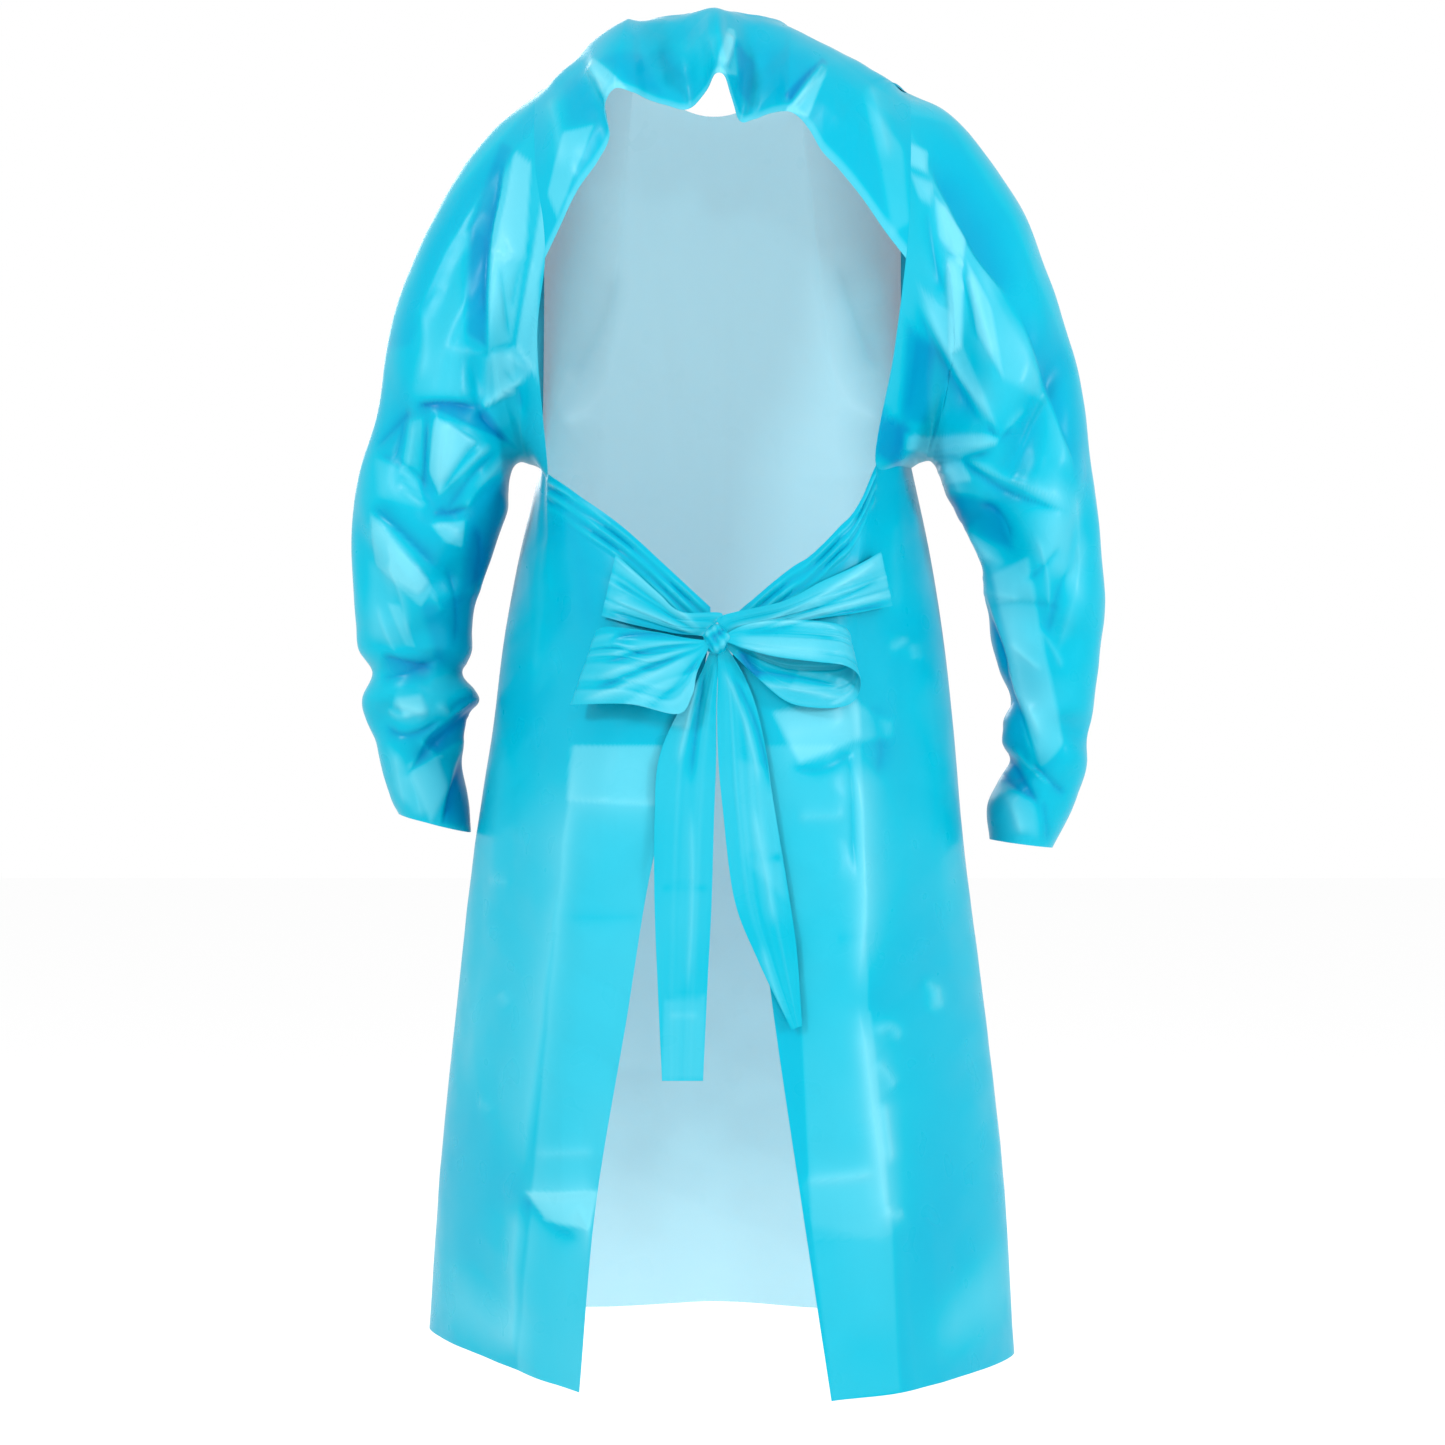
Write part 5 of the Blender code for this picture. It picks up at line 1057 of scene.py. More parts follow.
panelSides = {
    "left": {
        "mirror": 1.0,
        "edge": leftTop,
        "creases": leftPanelCreases,
        "facets": leftPanelShadedFacets,
        "seed": 9,
        "flat": (0.30, 0.78),
        "area": 0.20,
    },
    "right": {
        "mirror": -1.0,
        "edge": rightTop,
        "creases": rightPanelCreases,
        "facets": rightPanelShadedFacets,
        "seed": 14,
        "flat": (0.31, 0.78),
        "area": 0.21,
    },
}


def backPanel(side):
    part = panelSides[side]
    look, mirror, edge = dict(panelLook, seed=part["seed"]), part["mirror"], part["edge"]
    seamMarks, lastMark = look["seamMarks"], look["seamMarks"] + look["edgeMarks"]

    def seamLine(marks):
        return armholeLine(side, 180.0 - look["seamStep"] * np.minimum(marks, seamMarks))

    # the top edge: its drop and its place round the gown at each mark
    marks = np.arange(lastMark + 1.0)
    onSeam, along = seamLine(marks), np.clip((marks - seamMarks) / look["edgeMarks"], 0.0, 1.0)
    edgeX, edgeDrop = (smooth(edge["share"], edge[name], along) for name in ("x", "drop"))
    markX = np.where(marks <= seamMarks, np.abs(onSeam[:, 0]), edgeX)
    markDrop = np.where(marks <= seamMarks, -onSeam[:, 2], edgeDrop)
    markPlace = np.array([backPlace(mirror, x, drop) for x, drop in zip(markX, markDrop)])
    markPlace[0] = seamPlace
    at = np.linspace(0.0, lastMark, look["columns"])
    topDrop, topPlace = smooth(marks, markDrop, at), smooth(marks, markPlace, at)

    hemPlace = seamPlace + (edgePlace - seamPlace) * at / lastMark
    hems = smooth(hemRows["around"], hemRows["drop"], mirror * hemPlace)
    down = np.linspace(0.0, 1.0, look["rows"])[:, None]
    drops = topDrop + (hems - topDrop) * down
    points = bodyPoints(mirror * (topPlace + (hemPlace - topPlace) * down), drops)
    pull = (seamLine(at) - points[0]) * softStep(0.0, 1.0, seamMarks + 1.0 - at)[:, None]
    points = points + pull[None] * (1.0 - down[..., None]) ** look["pullEnd"]
    outward = -mirror * facing(points)

    steps = (drops - topDrop) / look["bandStep"]
    band = np.cos(np.pi * (steps - 1.0)) * softStep(*look["bandFrom"], steps)
    band *= softStep(*look["bandTo"], steps) * softStep(*look["bandMarks"], at)
    wander = np.sin(look["bandBeat"] * at + look["bandSlant"] * steps)
    band *= look["bandLevel"] + look["bandWander"] * wander
    loose = looseInside(look["rows"], look["columns"], look["sealFade"], bottom=False)
    fold = creaseHeights(points, part["creases"]) * loose + band * look["bandRidge"]
    points = points + outward * fold[..., None]
    # painted shade in the troughs of the creases and the band, painted highlight on their ridges, and the
    # regions' painted highlight and shade
    shade = look["creaseShading"] * fold + toneOf(points, part["facets"]) * toneReach
    name = "backPanel" + side.capitalize()
    return filmShell(name, points, outward, shade, loose, backFilm, look, ("back_panel_" + side,))


for side, part in panelSides.items():
    backPanel(side)
print("back panels made")


# the yoke behind the neck

yokeLook = {
    "columns": 280,
    "rows": 90,
    "shoulderShare": 4.0 / 44.0,    # of the top edge, on each side of the neck opening
    "cornerShare": 0.15,            # of the lower edge, for the same columns
    "lastAngle": 105.0,             # of the armhole, where the yoke ends
    "sideBulge": 2,
    "rowTurn": 1.5,
    "rowEase": 0.8,
    "fanAcross": (0.0, 0.195, 0.500, 0.710, 1.0),   # where the flutes stand along the lower edge
    "fanTop": (0.0, 0.060, 0.493, 0.930, 1.0),      # and where their folds end along the top
    "rimShare": 0.05,      # the pale lower rim, as a share of the yoke's height
    "rimFull": 0.3,        # the part of the rim that is quite pale
    "rimTone": 0.26,
    "sealFade": 0.06,
    "creaseShading": 0.7,
    "waveHeight": 0.0024,
    "waveSize": 0.07,
    "facetHeight": 0.0010,
    "facetSize": 0.030,
    "seed": 21,
    "flat": (0.46, 0.19),
    "area": 0.068,
}
# the free lower edge, from left to right, with the three flutes in it
yokeEdge = table(
    "share x y z",
    (0.000, 0.1500, 0.112, -0.208),
    (0.050, 0.1368, 0.118, -0.182),
    (0.100, 0.1225, 0.122, -0.153),
    (0.150, 0.1050, 0.124, -0.128),
    (0.190, 0.0950, 0.126, -0.107),
    (0.225, 0.0990, 0.133, -0.084),
    (0.260, 0.0905, 0.143, -0.071),
    (0.300, 0.0755, 0.141, -0.0735),
    (0.340, 0.0630, 0.132, -0.0775),
    (0.380, 0.0492, 0.125, -0.081),
    (0.440, 0.0240, 0.121, -0.081),
    (0.465, 0.0135, 0.131, -0.070),
    (0.490, 0.0060, 0.146, -0.059),
    (0.505, 0.0000, 0.150, -0.060),
    (0.525, -0.0065, 0.138, -0.072),
    (0.550, -0.0130, 0.122, -0.0915),
    (0.590, -0.0274, 0.120, -0.092),
    (0.630, -0.0424, 0.127, -0.0885),
    (0.665, -0.0548, 0.136, -0.0885),
    (0.700, -0.0640, 0.135, -0.093),
    (0.740, -0.0733, 0.128, -0.103),
    (0.780, -0.0822, 0.124, -0.1175),
    (0.840, -0.0989, 0.121, -0.1355),
    (0.900, -0.1191, 0.118, -0.160),
    (0.950, -0.1368, 0.115, -0.185),
    (1.000, -0.1550, 0.112, -0.208),
)


def backYoke():
    look = yokeLook
    shoulder, corner = look["shoulderShare"], look["cornerShare"]
    across = np.linspace(0.0, 1.0, look["columns"])
    down = np.linspace(0.0, 1.0, look["rows"])[:, None]
    share = np.interp(across, (0.0, shoulder, 1.0 - shoulder, 1.0), (0.0, corner, 1.0 - corner, 1.0))
    fan = smooth(np.array(look["fanAcross"]), np.array(look["fanTop"]), across)
    top = topLine(fan, shoulder, False)
    bottom = np.stack([smooth(yokeEdge["share"], yokeEdge[axis], share) for axis in "xyz"], axis=1)
    angles = np.linspace(0.0, look["lastAngle"], look["rows"])
    left, right = armholeLine("left", angles), armholeLine("right", angles)
    bottom[0], bottom[-1] = left[-1], right[-1]
    points = patch(top, bottom, left, right, look["sideBulge"], look["rowTurn"], look["rowEase"])
    outward = -facing(points)
    loose = looseInside(look["rows"], look["columns"], look["sealFade"], top=False, bottom=False)
    fold = creaseHeights(points, yokeCreases) * loose
    points = points + outward * fold[..., None]
    rim = softStep(1.0 - look["rimShare"], 1.0 - look["rimFull"] * look["rimShare"], down)
    # the creases' and regions' painted shade and highlight, and the pale lower rim
    tones = toneOf(points, yokeShadedFacets) + look["rimTone"] * rim
    shade = look["creaseShading"] * fold + tones * toneReach
    return filmShell("backYoke", points, outward, shade, loose, backFilm, look, ("back_yoke",))


yoke = backYoke()
print("yoke made")


# the sleeves

sleeveLook = {
    "rings": 244,
    "sides": 190,
    "denserBehind": 0.4,      # more of the sides lie behind, where the creases are finest
    "foldShade": 0.06,        # painted shade: how much deeper the large folds are painted
    "facetLift": 0.0035,      # how far a region of full tone stands out
    # painted sheen: how much paler the whole sleeve is painted than the back panels
    "paintedPaleness": 0.08,
    "creaseShading": 0.8,
    "seamRings": 1.2,         # creases grow over these rings below the armhole
    "calmShare": 0.8,         # the outer line of the upper sleeve is calmer,
    "calmAngle": 38.0,        # within about this angle of it
    "calmRings": (14.0, 11.0),
    "hiddenTone": 0.3,        # the share of the regions' tones on the side turned away
    "turning": 0.2,
    "waveHeight": 0.0050,
    "waveSize": 0.070,
    "facetHeight": 0.0010,
    "facetSize": 0.050,
}
# rings from the armhole to the cuff: both ends as seen from behind, then the depth front to back
leftSleeve = table(
    "outerX outerDrop innerX innerDrop middleY halfDepth",
    (0.1976, 0.0777, 0.1690, 0.3725, 0.003, 0.090),
    (0.2257, 0.1120, 0.1773, 0.3708, 0.006, 0.088),
    (0.2512, 0.1560, 0.1835, 0.3755, 0.009, 0.085),
    (0.2670, 0.1900, 0.1865, 0.3860, 0.012, 0.082),
    (0.2830, 0.2317, 0.1875, 0.4000, 0.015, 0.078),
    (0.2952, 0.2784, 0.1880, 0.4139, 0.018, 0.074),
    (0.3049, 0.3350, 0.1932, 0.4324, 0.020, 0.069),
    (0.3165, 0.3780, 0.2011, 0.4605, 0.018, 0.064),
    (0.3240, 0.4150, 0.2090, 0.4816, 0.015, 0.060),
    (0.3252, 0.4456, 0.2165, 0.4985, 0.012, 0.058),
    (0.3234, 0.4843, 0.2200, 0.5177, 0.006, 0.055),
    (0.3225, 0.5120, 0.2204, 0.5353, 0.000, 0.052),
    (0.3208, 0.5353, 0.2240, 0.5480, -0.004, 0.049),
    (0.3084, 0.5560, 0.2266, 0.5590, -0.008, 0.042),
    (0.3190, 0.5793, 0.2134, 0.5793, -0.012, 0.049),
    (0.3130, 0.6040, 0.2222, 0.5980, -0.015, 0.044),
    (0.3058, 0.6240, 0.2270, 0.6160, -0.018, 0.045),
    (0.3005, 0.6460, 0.2285, 0.6360, -0.020, 0.042),
    (0.2935, 0.6670, 0.2255, 0.6620, -0.022, 0.041),
    (0.2864, 0.6805, 0.2235, 0.6972, -0.024, 0.040),
)
rightSleeve = table(
    "outerX outerDrop innerX innerDrop middleY halfDepth",
    (0.1930, 0.0620, 0.1740, 0.3710, 0.003, 0.090),
    (0.2178, 0.0865, 0.1826, 0.3699, 0.006, 0.088),
    (0.2433, 0.1217, 0.1880, 0.3760, 0.009, 0.086),
    (0.2653, 0.1587, 0.1915, 0.3850, 0.012, 0.083),
    (0.2803, 0.2000, 0.1940, 0.3950, 0.015, 0.079),
    (0.2961, 0.2405, 0.1975, 0.4070, 0.018, 0.075),
    (0.3093, 0.2784, 0.2046, 0.4230, 0.020, 0.070),
    (0.3155, 0.3197, 0.2160, 0.4400, 0.019, 0.067),
    (0.3225, 0.3725, 0.2270, 0.4680, 0.017, 0.063),
    (0.3287, 0.4148, 0.2310, 0.4890, 0.013, 0.060),
    (0.3322, 0.4561, 0.2345, 0.5080, 0.008, 0.057),
    (0.3366, 0.4957, 0.2365, 0.5320, 0.003, 0.054),
    (0.3340, 0.5292, 0.2416, 0.5547, -0.002, 0.050),
    (0.3287, 0.5640, 0.2530, 0.5790, -0.007, 0.044),
    (0.3262, 0.5900, 0.2470, 0.6000, -0.011, 0.047),
    (0.3243, 0.6110, 0.2460, 0.6170, -0.014, 0.043),
    (0.3225, 0.6330, 0.2530, 0.6340, -0.017, 0.044),
    (0.3180, 0.6530, 0.2440, 0.6510, -0.020, 0.041),
    (0.3080, 0.6800, 0.2350, 0.6740, -0.022, 0.041),
    (0.2917, 0.7104, 0.2380, 0.7034, -0.024, 0.038),
)
# large folds: the ring and the angle of their middle, and their reach along and around the sleeve
sleeveFolds = table(
    "ring angle along around slant depth",
    (2.5, 115, 1.8, 22, -0.020, 0.014),
    (3.0, 62, 2.2, 16, 0.010, 0.010),
    (7.2, 80, 0.8, 52, 0.008, 0.016),
    (9.0, 135, 1.0, 32, -0.030, 0.010),
    (10.5, 55, 1.0, 36, 0.025, 0.010),
    (11.8, 110, 0.8, 36, -0.020, 0.007),
    (13.0, 100, 0.7, 60, 0.006, 0.007),
    (15.6, 60, 0.7, 50, -0.012, 0.007),
    (17.4, 120, 0.7, 50, 0.012, 0.006),
    (3.5, 250, 1.8, 24, 0.020, 0.013),
    (7.4, 290, 0.8, 50, -0.006, 0.014),
    (10.0, 230, 1.0, 36, 0.025, 0.010),
    (13.2, 270, 0.8, 55, -0.008, 0.007),
    (16.4, 250, 0.7, 50, 0.012, 0.006),
)
sleeveSides = {
    "left": {
        "mirror": 1.0,
        "rings": leftSleeve,
        "creases": leftSleeveCreases,
        "facets": leftSleeveShadedFacets,
        "seed": 33,
        "flat": (0.50, 0.62),
        "area": 0.22,
    },
    "right": {
        "mirror": -1.0,
        "rings": rightSleeve,
        "creases": rightSleeveCreases,
        "facets": rightSleeveShadedFacets,
        "seed": 40,
        "flat": (0.50, 0.64),
        "area": 0.23,
    },
}


def foldedIn(rings, angles):
    # how deep the large folds lie at each ring and angle
    depth = np.zeros((len(rings), len(angles)))
    for row in range(len(sleeveFolds["ring"])):
        one = {name: sleeveFolds[name][row] for name in sleeveFolds}
        away = (angles[None, :] - one["angle"] + 180.0) % 360.0 - 180.0
        along = rings[:, None] - one["ring"] - one["slant"] * away
        depth += one["depth"] * np.exp(-((along / one["along"]) ** 2) - (away / one["around"]) ** 2)
    return depth * softStep(0.0, 1.0, rings)[:, None]


def sleeve(side):
    part = sleeveSides[side]
    look, rows, mirror = dict(sleeveLook, seed=part["seed"]), part["rings"], part["mirror"]
    turn = np.linspace(0.0, 2.0 * np.pi, look["sides"] + 1)[None, :-1]
    turn = turn - look["denserBehind"] * (1.0 - np.cos(turn))
    angles = np.degrees(turn[0])
    outer = np.stack([mirror * rows["outerX"], -rows["outerDrop"]], axis=1)
    inner = np.stack([mirror * rows["innerX"], -rows["innerDrop"]], axis=1)
    middle, reach = (outer + inner) / 2.0, (outer - inner) / 2.0
    x = middle[:, :1] + reach[:, :1] * np.cos(turn)
    z = middle[:, 1:] + reach[:, 1:] * np.cos(turn)
    y = rows["middleY"][:, None] + rows["halfDepth"][:, None] * np.sin(turn)
    coarse = np.concatenate([armholeLine(side, angles)[None], np.stack([x, y, z], axis=2)])
    marks = np.arange(float(len(coarse)))
    rings = np.linspace(0.0, marks[-1], look["rings"])
    points = smooth(marks, coarse, rings)
    outward = -mirror * facing(points, wraps=True)
    deep = foldedIn(rings, angles)
    points = points - outward * deep[..., None]
    outward = -mirror * facing(points, wraps=True)

    fromOuter = np.minimum(angles, 360.0 - angles)
    nearOuter = np.exp(-((fromOuter / look["calmAngle"]) ** 2))[None, :]
    calm = 1.0 - look["calmShare"] * nearOuter * softStep(*look["calmRings"], rings)[:, None]
    loose = softStep(0.0, look["seamRings"], rings)[:, None] * calm
    fold = creasedAllRound(points, outward, part["creases"], hiddenSide(part["creases"])) * loose
    points = points + outward * fold[..., None]
    backward = softStep(-look["turning"], look["turning"], outward[..., 1])
    tones = toneOf(points, part["facets"])
    tones = tones * (look["hiddenTone"] + (1.0 - look["hiddenTone"]) * backward)
    points = points + outward * (look["facetLift"] * tones * loose)[..., None]
    # painted shade and highlight: crease troughs and large folds deeper, ridges and regions paler, the
    # whole sleeve a little paler
    shade = look["creaseShading"] * fold - look["foldShade"] * deep + (tones + look["paintedPaleness"]) * toneReach
    name = "sleeve" + side.capitalize()
    nodes = ("sleeve_" + side + "_upper", "sleeve_" + side + "_lower")
    return filmShell(name, points, outward, shade, loose, backFilm, look, nodes, wraps=True)


for side, part in sleeveSides.items():
    sleeve(side)
print("sleeves made")


# the waist ties, their bow and tails

knotForm = {
    "middle": (0.0050, 0.1660, -0.5310),
    "radii": (0.0105, 0.0095, 0.0125),
    "rings": 40,
    "sides": 64,
    "ridge": 0.0014,          # the wound film stands in ridges: how high, how many, how aslant
    "ridges": 3.0,
    "ridgeSlant": 3.2,
    "fineRidge": 0.0007,
    "fineRidges": 7.0,
    "fineSlant": -5.0,
    "waist": 0.0016,          # one strip is drawn tight round it: how deep, where, how wide
    "waistTilt": 1.25,
    "waistSwing": 0.4,
    "waistWidth": 0.20,
    "flatEnds": 0.6,
    # how strongly the knot's waist is painted in shade and its ridges in highlight
    "tone": 0.7,
    "stripHalf": 0.001,       # half the thickness of the solid strips that it holds
    "endSink": 0.0012,        # how far a strip's end goes into it
}
tieLook = {
    "rows": 110,
    "columns": 56,
    "sealFade": 0.08,
    "creaseShading": 1.2,
    "creaseHold": 0.3,        # a lower power keeps creases up closer to the edges
    "waveHeight": 0.0,
    "waveSize": 0.03,
    "facetHeight": 0.0004,
    "facetSize": 0.014,
}
pleatForm = {
    "share": 0.45,            # of the depth in the tables
    "crowd": 0.055,           # how unevenly the pleats stand across a strip
    "sway": 0.035,            # and how they move along it
    "swayTurns": 2.5,
    "swayRun": 2.0,
    "drift": 1.1,
    "driftRun": 4.0,
    "crisp": 0.97,            # near 1 for straight flanks, near 0 for round ones
    "crispReach": 1.33,
    "level": 0.62,            # their height wanders about this share
    "wander": 0.38,
    "wanderBeat": 1.3,
    "wanderRun": 6.0,
    "fine": 0.25,             # smaller gathers among them
    "fineBeat": 2.7,
    "fineRun": 5.0,
}
# the strips' edges over the back panels, with how far each place lies off the panel
leftTie = table(
    "upperX upperZ lowerX lowerZ off pleat",
    (0.0880, -0.4590, 0.0985, -0.5110, 0.0052, 0.0018),
    (0.0700, -0.4760, 0.0790, -0.5170, 0.0056, 0.0024),
    (0.0520, -0.4930, 0.0580, -0.5220, 0.0060, 0.0024),
    (0.0340, -0.5080, 0.0380, -0.5260, 0.0078, 0.0018),
    (0.0000, -0.5095, 0.0180, -0.5280, 0.0100, 0.0008),
    (0.0150, -0.5220, 0.0150, -0.5290, 0.0110, 0.0),
)
rightTie = table(
    "upperX upperZ lowerX lowerZ off pleat",
    (-0.1300, -0.4560, -0.1400, -0.5010, 0.0056, 0.0018),
    (-0.1080, -0.4690, -0.1100, -0.5080, 0.0062, 0.0026),
    (-0.0800, -0.4830, -0.0800, -0.5130, 0.0062, 0.0026),
    (-0.0500, -0.4990, -0.0500, -0.5180, 0.0080, 0.0020),
    (0.0010, -0.5120, -0.0180, -0.5255, 0.0107, 0.0008),
    (-0.0100, -0.5200, -0.0100, -0.5270, 0.0110, 0.0),
)
leftTail = table(
    "upperX upperZ lowerX lowerZ off pleat",
    (0.0090, -0.5450, 0.0030, -0.5450, 0.0060, 0.0),
    (0.0190, -0.5620, 0.0040, -0.5640, 0.0048, 0.0006),
    (0.0360, -0.5900, 0.0051, -0.5920, 0.0046, 0.0012),
    (0.0530, -0.6300, 0.0052, -0.6300, 0.0046, 0.0010),
    (0.0560, -0.6800, 0.0070, -0.6800, 0.0046, 0.0008),
    (0.0560, -0.7500, 0.0090, -0.7500, 0.0046, 0.0006),
    (0.0535, -0.8200, 0.0125, -0.8200, 0.0046, 0.0005),
    (0.0500, -0.8960, 0.0160, -0.8960, 0.0046, 0.0005),
)
rightTail = table(
    "upperX upperZ lowerX lowerZ off pleat",
    (0.0010, -0.5450, -0.0050, -0.5440, 0.0060, 0.0),
    (0.0038, -0.5640, -0.0170, -0.5600, 0.0050, 0.0006),
    (0.0046, -0.5900, -0.0280, -0.5870, 0.0050, 0.0012),
    (0.0036, -0.6300, -0.0365, -0.6240, 0.0056, 0.0012),
    (0.0000, -0.6700, -0.0420, -0.6620, 0.0060, 0.0012),
    (-0.0095, -0.7450, -0.0550, -0.7400, 0.0060, 0.0010),
    (-0.0290, -0.7960, -0.0620, -0.7900, 0.0060, 0.0008),
    (-0.0570, -0.8530, -0.0660, -0.8500, 0.0060, 0.0004),
)
leftLoop = table(
    "upperX upperZ upperOff lowerX lowerZ lowerOff pleat",
    (0.0150, -0.5330, 0.0150, 0.0130, -0.5400, 0.0150, 0.0),
    (0.0300, -0.5300, 0.0190, 0.0190, -0.5580, 0.0180, 0.0014),
    (0.0500, -0.5260, 0.0220, 0.0235, -0.5780, 0.0210, 0.0026),
    (0.0720, -0.5225, 0.0220, 0.0370, -0.5930, 0.0220, 0.0034),
    (0.0890, -0.5205, 0.0180, 0.0720, -0.5850, 0.0240, 0.0036),
    (0.0980, -0.5230, 0.0135, 0.1040, -0.5850, 0.0215, 0.0020),
    (0.1005, -0.5270, 0.0090, 0.1130, -0.5850, 0.0190, 0.0006),
    (0.0960, -0.5310, 0.0050, 0.1090, -0.5825, 0.0072, 0.0006),
    (0.0790, -0.5320, 0.0046, 0.0850, -0.5770, 0.0060, 0.0018),
    (0.0550, -0.5330, 0.0060, 0.0560, -0.5690, 0.0070, 0.0020),
    (0.0300, -0.5340, 0.0090, 0.0300, -0.5540, 0.0100, 0.0010),
    (0.0150, -0.5350, 0.0110, 0.0150, -0.5410, 0.0110, 0.0),
)
rightLoop = table(
    "upperX upperZ upperOff lowerX lowerZ lowerOff pleat",
    (-0.0060, -0.5260, 0.0160, -0.0060, -0.5330, 0.0160, 0.0),
    (-0.0200, -0.5180, 0.0200, -0.0200, -0.5400, 0.0210, 0.0010),
    (-0.0450, -0.5150, 0.0240, -0.0450, -0.5460, 0.0270, 0.0016),
    (-0.0730, -0.5160, 0.0250, -0.0720, -0.5500, 0.0290, 0.0020),
    (-0.0900, -0.5190, 0.0210, -0.0900, -0.5530, 0.0270, 0.0020),
    (-0.0990, -0.5250, 0.0130, -0.1020, -0.5620, 0.0200, 0.0014),
    (-0.0990, -0.5330, 0.0070, -0.1060, -0.5760, 0.0120, 0.0012),
    (-0.0930, -0.5380, 0.0060, -0.0980, -0.5860, 0.0090, 0.0016),
    (-0.0770, -0.5400, 0.0062, -0.0780, -0.5880, 0.0090, 0.0020),
    (-0.0520, -0.5400, 0.0075, -0.0540, -0.5830, 0.0100, 0.0018),
    (-0.0260, -0.5360, 0.0100, -0.0300, -0.5640, 0.0110, 0.0010),
    (-0.0080, -0.5330, 0.0110, -0.0090, -0.5400, 0.0110, 0.0),
)

# the strips: their nodes, how they meet the knot, their pleats and their flat cuts
tieStrips = {
    "waistTieLeft": {
        "node": "waist_tie_left",
        "rows": leftTie,
        "knotEnds": ((-1, -0.0010),),    # the row that meets the knot, and how far behind its middle
        "halfWidth": 0.0035,
        "pleats": 3,
        "seenRow": 3,                    # a row whose outer face is seen from behind
        "seed": 51,
        "flat": (0.036, 0.100),
        "area": 0.0034,
    },
    "waistTieRight": {
        "node": "waist_tie_right",
        "rows": rightTie,
        "knotEnds": ((-1, -0.0010),),
        "halfWidth": 0.0035,
        "pleats": 3,
        "seenRow": 3,
        "seed": 52,
        "flat": (0.034, 0.160),
        "area": 0.0050,
    },
    "tieTailLeft": {
        "node": "tie_tail_left",
        "rows": leftTail,
        "knotEnds": ((0, -0.0030),),
        "halfWidth": 0.0046,
        "pleats": 2,
        "seenRow": 4,
        "seed": 53,
        "flat": (0.042, 0.365),
        "area": 0.0142,
    },
    "tieTailRight": {
        "node": "tie_tail_right",
        "rows": rightTail,
        "knotEnds": ((0, -0.0020),),
        "halfWidth": 0.0046,
        "pleats": 2,
        "seenRow": 4,
        "seed": 54,
        "flat": (0.040, 0.325),
        "area": 0.0112,
    },
    "bowLoopLeft": {
        "node": "bow_loop_left",
        "rows": leftLoop,
        "knotEnds": ((0, 0.0045), (-1, -0.0010)),
        "halfWidth": 0.0035,
        "pleats": 4,
        "seenRow": 2,
        "seed": 55,
        "flat": (0.062, 0.235),
        "area": 0.0135,
    },
    "bowLoopRight": {
        "node": "bow_loop_right",
        "rows": rightLoop,
        "knotEnds": ((0, 0.0050), (-1, -0.0005)),
        "halfWidth": 0.0035,
        "pleats": 4,
        "seenRow": 2,
        "seed": 56,
        "flat": (0.048, 0.245),
        "area": 0.0108,
    },
}


def knotEnd(x, z, offY, halfWidth):
    # the two corners of a strip's end that meets the knot from the side of (x, z)
    middle, radii = knotForm["middle"], knotForm["radii"]
    way = unit(np.array([x - middle[0], z - middle[2]]))
    nearest = max(0.0, abs(offY) - knotForm["stripHalf"])
    shrink = math.sqrt(1.0 - (nearest / radii[1]) ** 2)
    reach = shrink / math.hypot(way[0] / radii[0], way[1] / radii[2])
    at = np.array([middle[0], middle[2]]) + way * (reach - knotForm["endSink"])
    side = np.array([-way[1], way[0]]) * halfWidth
    return [np.array([end[0], middle[1] + offY, end[1]]) for end in (at + side, at - side)]


def metByKnot(upper, lower, row, offY, halfWidth):
    # moves a row of the two edges to where the knot holds it
    middle = (upper[row] + lower[row]) / 2.0
    ends = knotEnd(middle[0], middle[2], offY, halfWidth)
    if np.linalg.norm(ends[0] - upper[row]) > np.linalg.norm(ends[1] - upper[row]):
        ends = ends[::-1]
    upper[row], lower[row] = ends


def stripEdge(rows, edge):
    # an edge over the back panels: a table gives both edges one distance off the panel, or one each
    off = rows.get(edge + "Off", rows.get("off"))
    return np.array([overPanel(*place) for place in zip(rows[edge + "X"], rows[edge + "Z"], off)])


def pleated(across, run, depth, pleats, seed):
    # uneven pleats that run along a strip, by the shares of its width and its length
    form = pleatForm
    crowd = form["crowd"] * np.sin(2.0 * np.pi * across + seed)
    sway = form["sway"] * np.sin(2.0 * np.pi * form["swayTurns"] * across + form["swayRun"] * run)
    drift = form["drift"] * np.sin(form["driftRun"] * run + seed) * np.sin(np.pi * across)
    phase = 2.0 * np.pi * pleats * (across + crowd + sway) + drift
    sharp = np.arcsin(form["crisp"] * np.cos(phase)) / form["crispReach"]
    wander = np.sin(form["wanderBeat"] * phase + 2.0 * seed) * np.sin(form["wanderRun"] * run + 0.5 * seed)
    strong = form["level"] + form["wander"] * wander
    fine = form["fine"] * np.sin(form["fineBeat"] * phase + form["fineRun"] * run + seed)
    fine = fine * np.sqrt(np.clip(np.sin(np.pi * across), 0.0, None))
    return form["share"] * depth * strong * (fine - 0.5 * sharp)


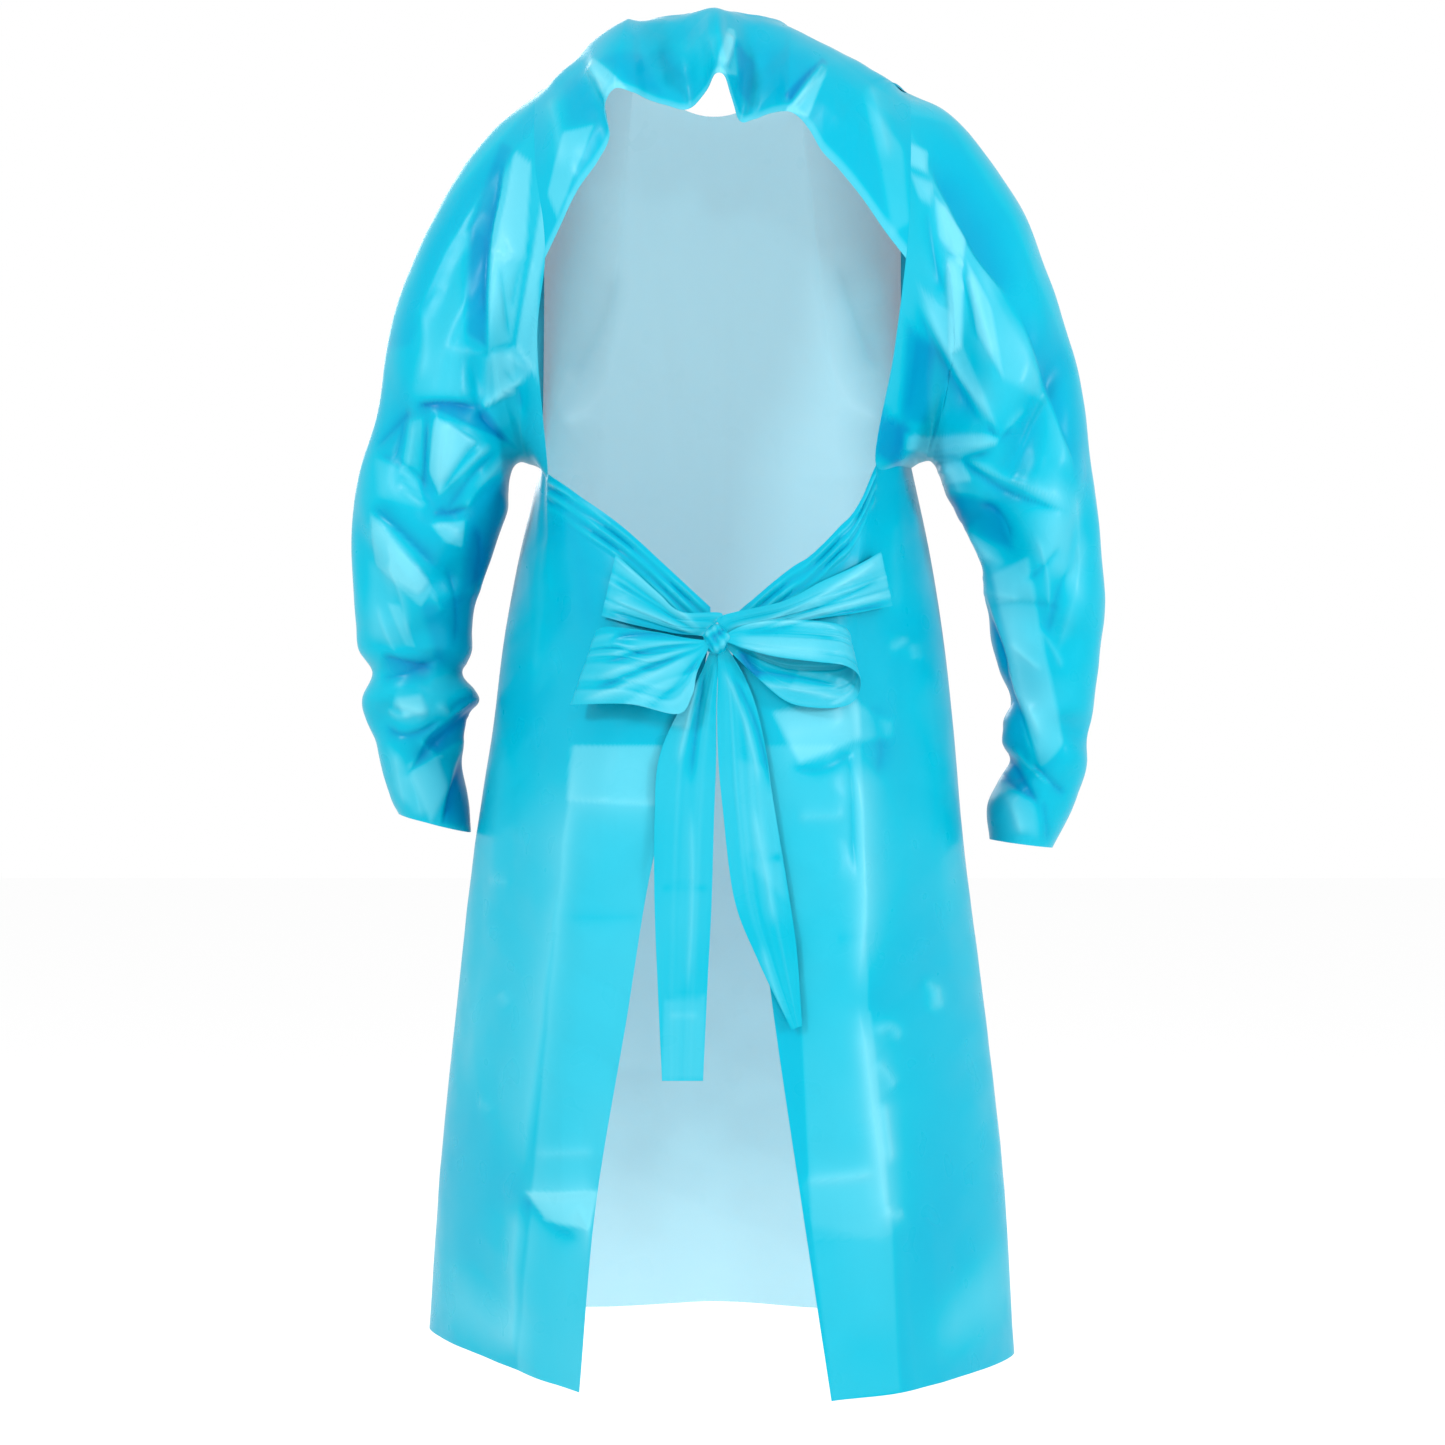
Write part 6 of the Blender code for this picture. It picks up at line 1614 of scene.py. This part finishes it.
def gatheredStrip(name, part):
    # a strip between two edges over the back panels, tied in at the knot
    look = dict(tieLook, seed=part["seed"])
    upper, lower = stripEdge(part["rows"], "upper"), stripEdge(part["rows"], "lower")
    for row, offY in part["knotEnds"]:
        metByKnot(upper, lower, row, offY, part["halfWidth"])
    marks = np.arange(float(len(upper)))
    at = np.linspace(0.0, marks[-1], look["rows"])
    upper, lower = smooth(marks, upper, at), smooth(marks, lower, at)
    depth = smooth(marks, part["rows"]["pleat"], at)[:, None]
    across = np.linspace(0.0, 1.0, look["columns"])[None, :]
    points = upper[:, None] * (1.0 - across[..., None]) + lower[:, None] * across[..., None]
    outward = facing(points)
    seen = int(part["seenRow"] / marks[-1] * (look["rows"] - 1))
    if outward[seen, look["columns"] // 2, 1] < 0.0:
        outward = -outward
    run = at[:, None] / marks[-1]
    loose = looseInside(look["rows"], look["columns"], look["sealFade"])
    fold = pleated(across, run, depth, part["pleats"], part["seed"])
    fold = fold + creaseHeights(points, bowCreases) * loose ** look["creaseHold"]
    points = points + outward * fold[..., None]
    # painted shade in the troughs of the pleats and creases, painted highlight on their ridges and in the
    # regions
    shade = look["creaseShading"] * fold + toneOf(points, bowShadedFacets) * toneReach
    return filmShell(name, points, outward, shade, loose, tieFilm, look, (part["node"],))


for name, part in tieStrips.items():
    gatheredStrip(name, part)


def bowKnot():
    # a small lump of film wound round itself
    form, (midX, midY, midZ), radii = knotForm, knotForm["middle"], knotForm["radii"]
    tilt = np.linspace(0.0, math.pi, form["rings"] + 1)[1:-1, None]
    turn = np.linspace(0.0, 2.0 * math.pi, form["sides"] + 1)[None, :-1]
    ridge = form["ridge"] * np.cos(form["ridges"] * turn + form["ridgeSlant"] * tilt)
    ridge = ridge + form["fineRidge"] * np.cos(form["fineRidges"] * turn + form["fineSlant"] * tilt + 1.0)
    fromWaist = (tilt - form["waistTilt"] - form["waistSwing"] * np.cos(turn)) / form["waistWidth"]
    swell = ridge * np.sin(tilt) - form["waist"] * np.exp(-(fromWaist ** 2))
    x = midX + (radii[0] + swell) * np.sin(tilt) * np.cos(turn)
    y = midY + (radii[1] + swell) * np.sin(tilt) * np.sin(turn)
    z = midZ + (radii[2] + swell * form["flatEnds"]) * np.cos(tilt)
    rings, sides = x.shape
    verts = np.stack([x, y, z], axis=-1).reshape(-1, 3).tolist()
    verts += [(midX, midY, midZ + radii[2]), (midX, midY, midZ - radii[2])]
    faces = []
    for side in range(sides):
        after = (side + 1) % sides
        faces.append((len(verts) - 2, side, after))
        faces.append(((rings - 1) * sides + side, len(verts) - 1, (rings - 1) * sides + after))
        for ring in range(rings - 1):
            a, b = ring * sides + side, ring * sides + after
            faces.append((a, a + sides, b + sides, b))
    mesh = bpy.data.meshes.new("bowKnot")
    mesh.from_pydata(verts, [], faces)
    layer = mesh.attributes.new("fold", "FLOAT", "POINT")
    # painted shade in the drawn-in waist and painted highlight on the wound ridges
    tones = np.append(swell.ravel() * form["tone"], (0.0, 0.0))
    layer.data.foreach_set("value", tones.astype(np.float32))
    mesh.materials.append(tieFilm)
    mesh.shade_smooth()
    knot = bpy.data.objects.new("bowKnot", mesh)
    bpy.context.scene.collection.objects.link(knot)
    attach(knot, "root")
    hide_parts("tie_knot")


bowKnot()
print("ties, bow and tails made")


# camera, floor and light

studio = {
    "cameraPlace": (0.0, 2.8, -0.60),
    "lens": 79.3,
    "sensor": 36.0,
    "floorZ": -1.42,
    "floorHalf": 14.0,
    "floorTone": 0.98,
    "floorRoughness": 0.9,
    "worldTone": 1.0,
    "worldPower": 1.0,
    "lampAim": (0.0, 0.0, -0.5),
}

scene = bpy.context.scene
scene.view_settings.view_transform = "Standard"
lens = bpy.data.cameras.new("camera")
lens.lens = studio["lens"]
lens.sensor_width = studio["sensor"]
camera = bpy.data.objects.new("camera", lens)
camera.location = studio["cameraPlace"]
camera.rotation_euler = (math.radians(90.0), 0.0, math.radians(180.0))
scene.collection.objects.link(camera)
scene.camera = camera

floorMesh = bpy.data.meshes.new("floor")
wide, low = studio["floorHalf"], studio["floorZ"]
corners = [(-wide, -wide, low), (wide, -wide, low), (wide, wide, low), (-wide, wide, low)]
floorMesh.from_pydata(corners, [], [(0, 1, 2, 3)])
floorPaint = bpy.data.materials.new("pale floor")
floorPaint.use_nodes = True
paint = floorPaint.node_tree.nodes["Principled BSDF"].inputs
paint["Base Color"].default_value = (*[studio["floorTone"]] * 3, 1.0)
paint["Roughness"].default_value = studio["floorRoughness"]
paint["Specular IOR Level"].default_value = 0.0
floorMesh.materials.append(floorPaint)
floor = bpy.data.objects.new("floor", floorMesh)
scene.collection.objects.link(floor)

world = bpy.data.worlds.new("studio")
world.use_nodes = True
sky = world.node_tree.nodes["Background"].inputs
sky["Color"].default_value = (*[studio["worldTone"]] * 3, 1.0)
sky["Strength"].default_value = studio["worldPower"]
scene.world = world

lamps = {
    "key": {"place": (1.6, 1.9, 0.9), "size": 0.4, "power": 30.0},
    "side": {"place": (-2.0, 1.3, 0.0), "size": 0.4, "power": 20.0},
    "spark": {"place": (-0.3, 2.9, 0.5), "size": 0.20, "power": 8.0},
    "front": {"place": (0.6, -2.6, 0.4), "size": 1.2, "power": 14.0},
}
for name, lamp in lamps.items():
    light = bpy.data.lights.new(name, "AREA")
    light.size = lamp["size"]
    light.energy = lamp["power"]
    holder = bpy.data.objects.new(name, light)
    holder.location = lamp["place"]
    aim = Vector(studio["lampAim"]) - Vector(lamp["place"])
    holder.rotation_euler = aim.to_track_quat("-Z", "Y").to_euler()
    scene.collection.objects.link(holder)
print("camera, floor and lamps placed")
